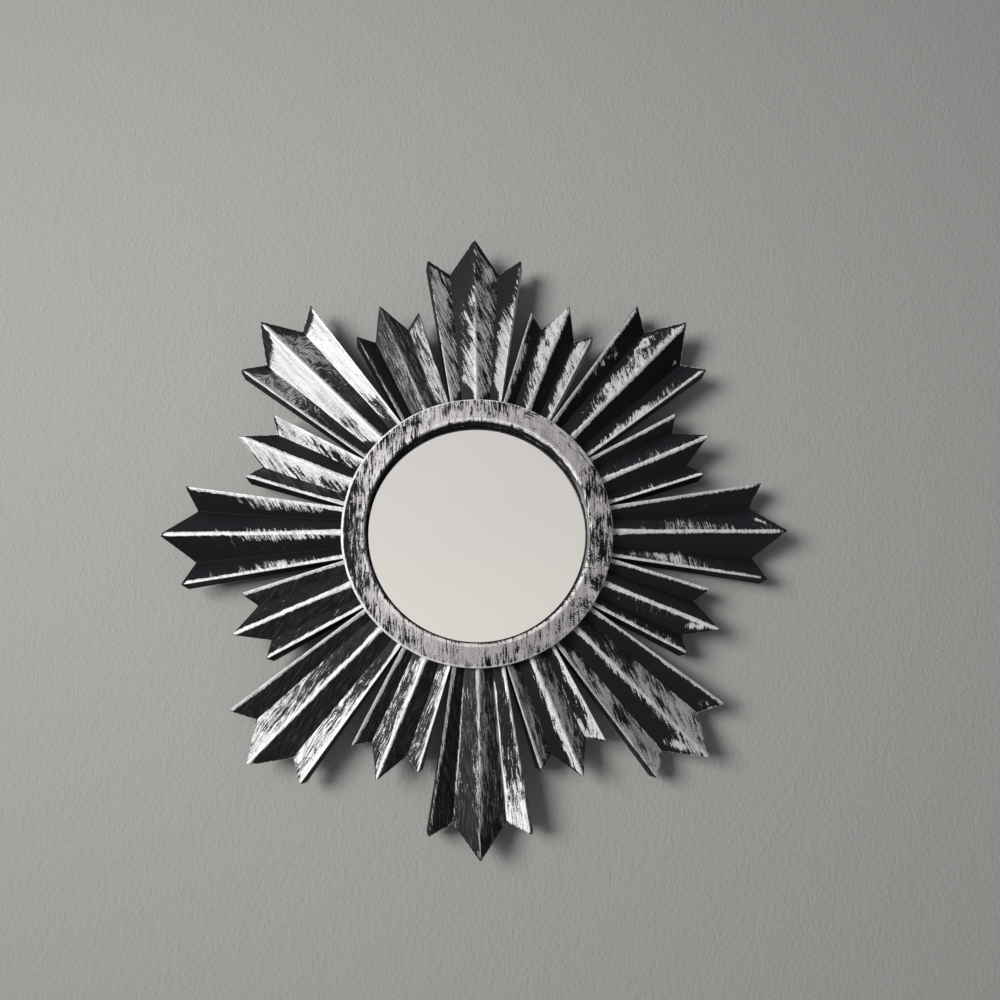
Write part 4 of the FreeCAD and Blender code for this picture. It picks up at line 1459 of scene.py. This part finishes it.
@dataclass
class Ring:
    """The turned front ring, with a rounded rim, a bevelled mouth and a dark throat down to the glass.

    A name that ends in _left is the share of silver that the brush left on that part of the section.
    """

    node: str = "front_ring"
    steps: int = 320
    rim_round: float = 0.0013
    rear_round: float = 0.0004
    bevel: float = 0.001
    dome: float = 0.00012
    land_drop: float = 0.0008
    land_steps: int = 13
    flange: float = 0.003
    collar_outer: float = 0.0502
    collar_inner: float = 0.0462
    lip_radius: float = 0.0432
    mouth_radius: float = 0.0442
    lip_back: float = 0.0142
    gap_height: float = 0.0003
    gap_width: float = 0.00045
    ledge_height: float = 0.0012
    ledge_width: float = 0.0003
    throat_ease: float = 0.0001
    throat_foot: float = 0.0002
    throat_height: float = 0.0022
    throat_left: float = -0.6
    ledge_left: float = 0.5
    mouth_left: float = 0.6
    land_left: float = 1.0
    rear_edge_left: float = 0.3
    rear_left: float = -0.2
    hair_length: float = 0.0056
    hair_width: float = 0.00075
    rim_line: float = 1.3
    rim_line_drop: float = 0.0004
    rim_line_inset: float = 0.0003
    rim_line_shift: float = 0.0004
    rim_bright: Span = (0.0014, 0.0004)
    # The mouth bevel's painted highlight: where it fades out, and how strong it is.
    mouth_painted_highlight: Span = (0.0009, 0.0005)
    mouth_painted_highlight_share: float = 0.7
    swept_from: float = 22.0
    swept_to: float = 62.0
    swept_blend: float = 8.0
    arcs: tuple[BrushedArc, ...] = (
        BrushedArc(0.0, 0.6, 0.38),
        BrushedArc(14.0, 0.52, 0.42),
        BrushedArc(28.0, 0.74, 0.52),
        BrushedArc(52.0, 0.68, 0.54),
        BrushedArc(72.0, 0.48, 0.48),
        BrushedArc(92.0, 0.46, 0.48, 0.15),
        BrushedArc(110.0, 0.5, 0.48, 0.35),
        BrushedArc(128.0, 0.58, 0.5, 0.5),
        BrushedArc(145.0, 0.64, 0.54, 0.3),
        BrushedArc(156.0, 0.66, 0.54),
        BrushedArc(168.0, 0.58, 0.52),
        BrushedArc(182.0, 0.7, 0.54),
        BrushedArc(194.0, 0.58, 0.5),
        BrushedArc(210.0, 0.64, 0.42),
        BrushedArc(232.0, 0.5, 0.38, lack=0.12),
        BrushedArc(256.0, 0.42, 0.48, lack=0.25),
        BrushedArc(276.0, 0.34, 0.5, lack=0.25),
        BrushedArc(294.0, 0.52, 0.34, lack=0.12),
        BrushedArc(306.0, 0.58, 0.26),
        BrushedArc(320.0, 0.46, 0.26),
        BrushedArc(340.0, 0.66, 0.34),
        BrushedArc(360.0, 0.6, 0.38),
    )

    def throat(self) -> list[Triple]:
        """Draw the section of the throat, from the lip over a ledge to the wall below the mouth.

        Returns:
            Rows of radius, height off the wall, and the share of silver.
        """
        ease = self.throat_ease
        ledge_radius = self.lip_radius + self.gap_width
        wall_radius = ledge_radius + self.ledge_width
        gap_top = self.lip_back + self.gap_height
        ledge_top = self.lip_back + self.ledge_height
        return [
            # The lip and the floor of the gap get no silver: painted shade, a black ring for the dark shadow
            # line next to the glass.
            (self.lip_radius, self.lip_back, self.throat_left),
            (self.lip_radius + ease, gap_top, self.throat_left),
            (ledge_radius - ease / 2, gap_top, self.throat_left),
            (ledge_radius, ledge_top - ease, self.rear_left),
            (ledge_radius + ease, ledge_top, self.ledge_left),
            (wall_radius - ease, ledge_top, self.ledge_left),
            (wall_radius, ledge_top + self.throat_foot, self.throat_left),
            (wall_radius + ease, ledge_top + self.throat_height, self.throat_left),
        ]

    def profile(self) -> np.ndarray:
        """Draw the ring's section.

        Returns:
            Rows of radius, height off the wall, and the share of silver.
        """
        low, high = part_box(self.node)
        outer, top, board = high.x, -low.y, -high.y
        edge_top = top - self.land_drop
        slope = (edge_top - top) / (outer - self.mouth_radius)
        rows = self.throat()
        mouth_start = (self.mouth_radius - self.throat_ease, top - self.bevel)
        land_start = (self.mouth_radius + self.bevel, top + slope * self.bevel)
        for share, point in round_corner(mouth_start, (self.mouth_radius, top), land_start):
            rows.append((*point, self.mouth_left + (self.land_left - self.mouth_left) * share))
        for share in np.linspace(0.0, 1.0, self.land_steps + 1)[1:-1]:
            radius = land_start[0] + (outer - self.rim_round - land_start[0]) * share
            height = top + slope * (radius - self.mouth_radius) - self.dome * math.sin(math.pi * share)
            rows.append((radius, height, self.land_left))
        rim_start = (outer - self.rim_round, edge_top - slope * self.rim_round)
        rim_end = (outer, edge_top - self.rim_round)
        rim = round_corner(rim_start, (outer, edge_top), rim_end)
        rows += [(*point, self.land_left) for _, point in rim]
        behind = edge_top - self.flange
        rows += [
            (outer, behind + self.rear_round, self.rear_edge_left),
            (outer - self.rear_round, behind, self.rear_left),
            (self.collar_outer, behind, self.rear_left),
            (self.collar_outer, board, self.rear_left),
            (self.collar_inner, board, self.rear_left),
            (self.collar_inner, self.lip_back, self.rear_left),
        ]
        return np.array(rows)

    def paint_numbers(self, angles: np.ndarray, section: np.ndarray) -> dict[str, np.ndarray]:
        """Work out all the numbers that the paint reads.

        Args:
            angles: The steps round the ring, in radians clockwise from the top.
            section: The rows of the section.

        Returns:
            The numbers by their names, for each step and each row.
        """
        radius, height, left = section.T
        turned = np.degrees(angles)[:, None]
        stops = [arc.angle for arc in self.arcs]
        cover, thin, swirl, lack = (
            np.interp(turned, stops, [getattr(arc, name) for arc in self.arcs])
            for name in ("cover", "thin", "swirl", "lack")
        )
        outward = np.clip((radius - self.mouth_radius) / (radius.max() - self.mouth_radius), 0.0, 1.0)
        load = np.where(left > 0.0, cover * left + lack * (1.0 - 2.0 * outward), left)
        rim_line_height = height.max() - self.land_drop - self.rim_line_drop
        rim = np.hypot(radius - radius.max(), height - rim_line_height)
        # Less silver is wiped off along the rim line and on the mouth bevel. On the bevel this is a painted
        # highlight, so that it shows bright where the light falls.
        mouth = np.abs(radius - self.mouth_radius - self.bevel / 2)
        mouth_painted_highlight = self.mouth_painted_highlight_share * smooth_step(*self.mouth_painted_highlight, mouth)
        bright = np.maximum(smooth_step(*self.rim_bright, rim), mouth_painted_highlight)
        begun = smooth_step(self.swept_from - self.swept_blend, self.swept_from + self.swept_blend, turned)
        ended = smooth_step(self.swept_to - self.swept_blend, self.swept_to + self.swept_blend, turned)
        numbers = {
            "load": load,
            "veil": np.zeros(1),
            "dull": np.zeros(1),
            "line": np.full(1, self.rim_line),
            "crest": rim + self.rim_line_inset + self.rim_line_shift * np.sin(angles)[:, None],
            "thin": thin * (1.0 - bright),
            "swirl": swirl,
            "sweep": begun * (1.0 - ended),
        }
        return {name: np.broadcast_to(values, load.shape) for name, values in numbers.items()}

    def build(self) -> bpy.types.Object:
        """Make the ring's mesh with the numbers that its paint reads.

        Returns:
            The ring's piece.
        """
        section = self.profile()
        radius, height, _ = section.T
        count = len(section)
        angles = np.linspace(0.0, 2 * math.pi, self.steps, endpoint=False)
        x = np.outer(np.sin(angles), radius)
        y = np.tile(-height, (self.steps, 1))
        z = np.outer(np.cos(angles), radius)
        faces = []
        for step in range(self.steps):
            this, following = step * count, (step + 1) % self.steps * count
            for spot in range(count):
                beside = (spot + 1) % count
                faces.append((this + spot, following + spot, following + beside, this + beside))
        mesh = smooth_mesh("ring_turned", np.stack([x, y, z], axis=-1).reshape(-1, 3), faces)
        for name, values in self.paint_numbers(angles, section).items():
            carry_numbers(mesh, name, values)
        still = np.zeros_like(x)
        upright = [z / self.hair_length, x / self.hair_width, still]
        carry_vectors(mesh, "hair", np.stack(upright, axis=-1))
        around, outward = np.outer(angles, radius), np.tile(radius, (self.steps, 1))
        circling = [around / self.hair_length, outward / self.hair_width, still]
        carry_vectors(mesh, "sweep_hair", np.stack(circling, axis=-1))
        return add_object("front_ring_turned", mesh)

    def dress(self, piece: bpy.types.Object, paint: bpy.types.Material) -> None:
        """Paint the ring and seat it in the frame.

        Args:
            piece: The ring's piece.
            paint: Its paint.
        """
        piece.data.materials.append(paint)
        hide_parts(self.node)
        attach(piece, BODY)


@dataclass
class Core:
    """The glass, the pad, the board and the fasteners, which keep their solids and get their finishes."""

    finishes: dict[str, Finish] = field(default_factory=lambda: {
        "mirror_glass": MirrorFinish(),
        "glass_pad": FeltFinish(),
        "back_board": HardboardFinish(),
        "ray_screws": ZincFinish("screw_zinc"),
        "ring_screws": ZincFinish("screw_zinc"),
        "hanger_plate": ZincFinish("plate_zinc", colour=(0.6, 0.6, 0.6, 1.0)),
        "hanger_screws": ZincFinish("screw_zinc"),
    })

    def dress(self) -> None:
        """Give each solid its finish, with one material for all that share it."""
        made: dict[Finish, bpy.types.Material] = {}
        for node, finish in self.finishes.items():
            if finish not in made:
                made[finish] = finish.build()
            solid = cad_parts[node]
            solid.data.materials.clear()
            solid.data.materials.append(made[finish])
            LOG.info("dressed %s with %s", node, finish.name)


@dataclass(frozen=True)
class WallFinish(Finish):
    """Matt wall paint with a roller's stipple, which is only there for rays that reach its front."""

    name: str = "wall_paint"
    colour: Colour = (0.347, 0.351, 0.332, 1.0)
    roughness: float = 0.85
    stipple_rates: Triple = (760.0, 760.0, 560.0)
    stipple_height: float = 0.5 * MILLIMETRE
    stipple_relief: float = 0.8

    def paint(self, shading: Shading) -> None:
        """Lay the finish on its material.

        Args:
            shading: The material's nodes.
        """
        stretched = shading.stretched(shading.place(), self.stipple_rates)
        stipple = shading.noise(stretched, detail=3.0, roughness=0.6)
        shading.set(Base_Color=self.colour, Roughness=self.roughness)
        shading.bump(stipple, self.stipple_height, self.stipple_relief)
        path = shading.node("ShaderNodeLightPath")
        side = shading.node("ShaderNodeNewGeometry")
        hidden = shading.math("MAXIMUM", path.outputs["Is Shadow Ray"], side.outputs["Backfacing"])
        mixer = shading.node("ShaderNodeMixShader")
        shading.feed(mixer.inputs[0], hidden)
        shading.feed(mixer.inputs[1], shading.shader.outputs["BSDF"])
        shading.feed(mixer.inputs[2], shading.node("ShaderNodeBsdfTransparent").outputs["BSDF"])
        shading.feed(shading.tree.nodes["Material Output"].inputs["Surface"], mixer.outputs["Shader"])


@dataclass(frozen=True)
class FloorFinish(Finish):
    """A pale floor, which looks so to the camera without lighting the object."""

    name: str = "floor_paint"
    colour: Colour = (0.8, 0.8, 0.78, 1.0)
    darker: Colour = (0.752, 0.752, 0.7332, 1.0)
    cloud_scale: float = 6.0
    roughness: float = 0.8
    paleness: float = 0.35
    gloss_share: float = 0.1

    def paint(self, shading: Shading) -> None:
        """Lay the finish on its material.

        Args:
            shading: The material's nodes.
        """
        cloud = shading.noise(shading.place(), self.cloud_scale, detail=3.0)
        path = shading.node("ShaderNodeLightPath")
        direct = shading.math("MAXIMUM", path.outputs["Is Camera Ray"], path.outputs["Is Transmission Ray"])
        seen = shading.math("MULTIPLY_ADD", path.outputs["Is Glossy Ray"], self.gloss_share, direct)
        shading.set(
            Base_Color=shading.mix(cloud, self.colour, self.darker),
            Roughness=self.roughness,
            Emission_Color=self.colour,
            Emission_Strength=shading.math("MULTIPLY", seen, self.paleness),
        )


@dataclass(frozen=True)
class Room:
    """The even light of a room, with a pale middle that the glass shows.

    Places in the room are directions from the mirror, to the right and upwards. The room grows lighter along
    a slant, and its middle is a round patch that fades out at its edge.
    """

    name: str = "room"
    even: Colour = (0.175, 0.175, 0.18, 1.0)
    seen: Colour = (0.66, 0.66, 0.64, 1.0)
    slant_up: float = 0.8
    slant_right: float = -0.4
    slant_span: Span = (-0.4, 0.75)
    dark_side: Colour = (0.02, 0.021, 0.024, 1.0)
    light_side: Colour = (0.45, 0.47, 0.52, 1.0)
    middle_right: float = 0.02
    middle_up: float = 0.165
    middle_edge: Span = (0.24, 0.14)
    middle_span: Span = (0.03, 0.3)
    middle_low: Colour = (0.79, 0.765, 0.705, 1.0)
    middle_high: Colour = (0.7, 0.667, 0.665, 1.0)
    shade_span: Span = (-0.15, 0.2)
    shade_left: Colour = (1.0, 1.0, 1.0, 1.0)
    shade_right: Colour = (0.9, 0.9, 0.9, 1.0)

    def build(self) -> bpy.types.World:
        """Make the world.

        Returns:
            The new world.
        """
        world = bpy.data.worlds.new(self.name)
        world.use_nodes = True
        nodes = Nodes(world.node_tree)
        right, inward, up = nodes.split(nodes.node("ShaderNodeTexCoord").outputs["Generated"])
        slant = nodes.math("MULTIPLY", right, self.slant_right)
        slant = nodes.math("MULTIPLY_ADD", up, self.slant_up, slant)
        sides = nodes.mix(nodes.step(slant, *self.slant_span), self.dark_side, self.light_side)
        middle = nodes.mix(nodes.step(up, *self.middle_span), self.middle_low, self.middle_high)
        shade = nodes.mix(nodes.step(right, *self.shade_span), self.shade_left, self.shade_right)
        middle = nodes.mix(1.0, middle, shade, blend="MULTIPLY")
        off_right = nodes.math("SUBTRACT", right, self.middle_right)
        off_up = nodes.math("SUBTRACT", up, self.middle_up)
        patch = nodes.step(nodes.length(off_right, off_up), *self.middle_edge)
        in_front = nodes.math("LESS_THAN", inward, 0.0)
        shown = nodes.mix(nodes.math("MULTIPLY", in_front, patch), sides, middle)
        path = nodes.node("ShaderNodeLightPath")
        lit = nodes.mix(path.outputs["Is Glossy Ray"], self.even, shown)
        light = nodes.mix(path.outputs["Is Camera Ray"], lit, self.seen)
        nodes.feed(nodes.tree.nodes["Background"].inputs["Color"], light)
        return world


@dataclass(frozen=True)
class Lamp:
    """A soft square lamp, whose spread is the angle of its beam in degrees and whose power is in watts."""

    name: str
    place: Triple
    aim: Triple
    size: float
    spread: float
    power: float

    def build(self) -> None:
        """Hang the lamp and turn it to its aim."""
        light = bpy.data.lights.new(self.name, "AREA")
        light.size = self.size
        light.spread = math.radians(self.spread)
        light.energy = self.power
        lamp = add_object(self.name, light)
        lamp.location = self.place
        lamp.rotation_euler = (Vector(self.aim) - Vector(self.place)).to_track_quat("-Z", "Y").to_euler()


@dataclass
class Stage:
    """The wall, the floor, the light and the camera."""

    wall_gap: float = 0.0006
    wall_half: float = 1.2
    floor_drop: float = 0.6
    camera_place: Triple = (-0.00951, -0.42681, -0.06764)
    camera_turn: Triple = (101.085, 0.821, -2.439)
    camera_lens: float = 37.8
    camera_near: float = 0.01
    lamps: tuple[Lamp, ...] = (
        Lamp("key", (-0.7, -0.86, 0.15), aim=(0.013, 0.0, 0.049), size=0.5, spread=75.0, power=2.62),
        Lamp("back", (0.5, 1.3, 0.7), aim=(0.0, 0.0, 0.0), size=0.9, spread=180.0, power=16.0),
    )

    def sheet(self, name: str, corners: list[Triple], finish: bpy.types.Material) -> None:
        """Add a flat sheet of the stage.

        Args:
            name: The sheet's name.
            corners: Its corners, anticlockwise as seen from its front.
            finish: Its material.
        """
        mesh = bpy.data.meshes.new(name)
        mesh.from_pydata(corners, [], [(0, 1, 2, 3)])
        mesh.materials.append(finish)
        add_object(name, mesh)

    def camera(self) -> None:
        """Set the camera at the photograph's angle."""
        lens = bpy.data.cameras.new("camera")
        lens.lens = self.camera_lens
        lens.clip_start = self.camera_near
        camera = add_object("camera", lens)
        camera.location = self.camera_place
        camera.rotation_euler = tuple(math.radians(angle) for angle in self.camera_turn)
        bpy.context.scene.camera = camera

    def build(self) -> None:
        """Set the stage."""
        half, gap, low = self.wall_half, self.wall_gap, -self.floor_drop
        wall = [(-half, gap, low), (half, gap, low), (half, gap, half), (-half, gap, half)]
        self.sheet("wall", wall, WallFinish().build())
        floor = [(-half, -half, low), (half, -half, low), (half, half, low), (-half, half, low)]
        self.sheet("floor", floor, FloorFinish().build())
        for lamp in self.lamps:
            lamp.build()
        bpy.context.scene.world = Room().build()
        self.camera()
        bpy.context.scene.view_settings.view_transform = "Standard"


def main() -> None:
    """Build and dress the mirror, then set the stage."""
    logging.basicConfig(level=logging.INFO)
    outside = DryBrushFinish("ray_brushed").build()
    inside = PlainPaintFinish().build()
    for place, (node, brushwork) in enumerate(BRUSHWORK.items()):
        kind = RayKind.LONG if node.startswith("long") else RayKind.SHORT
        ray = Ray(node, place * RAY_TURN, kind, brushwork, seed=place + 1)
        ray.dress(ray.build(), outside, inside)
        LOG.info("built %s", node)
    ring = Ring()
    silver = DryBrushFinish(
        "ring_brushed", silver=(0.93, 0.885, 0.875, 1.0), specular=0.1, bristle_weight=3.2, patch_weight=1.3,
        patch_scale=140.0, swept=True,
    )
    ring.dress(ring.build(), silver.build())
    LOG.info("built %s", ring.node)
    Core().dress()
    Stage().build()
    LOG.info("set the stage")


if __name__ == "__main__":
    main()
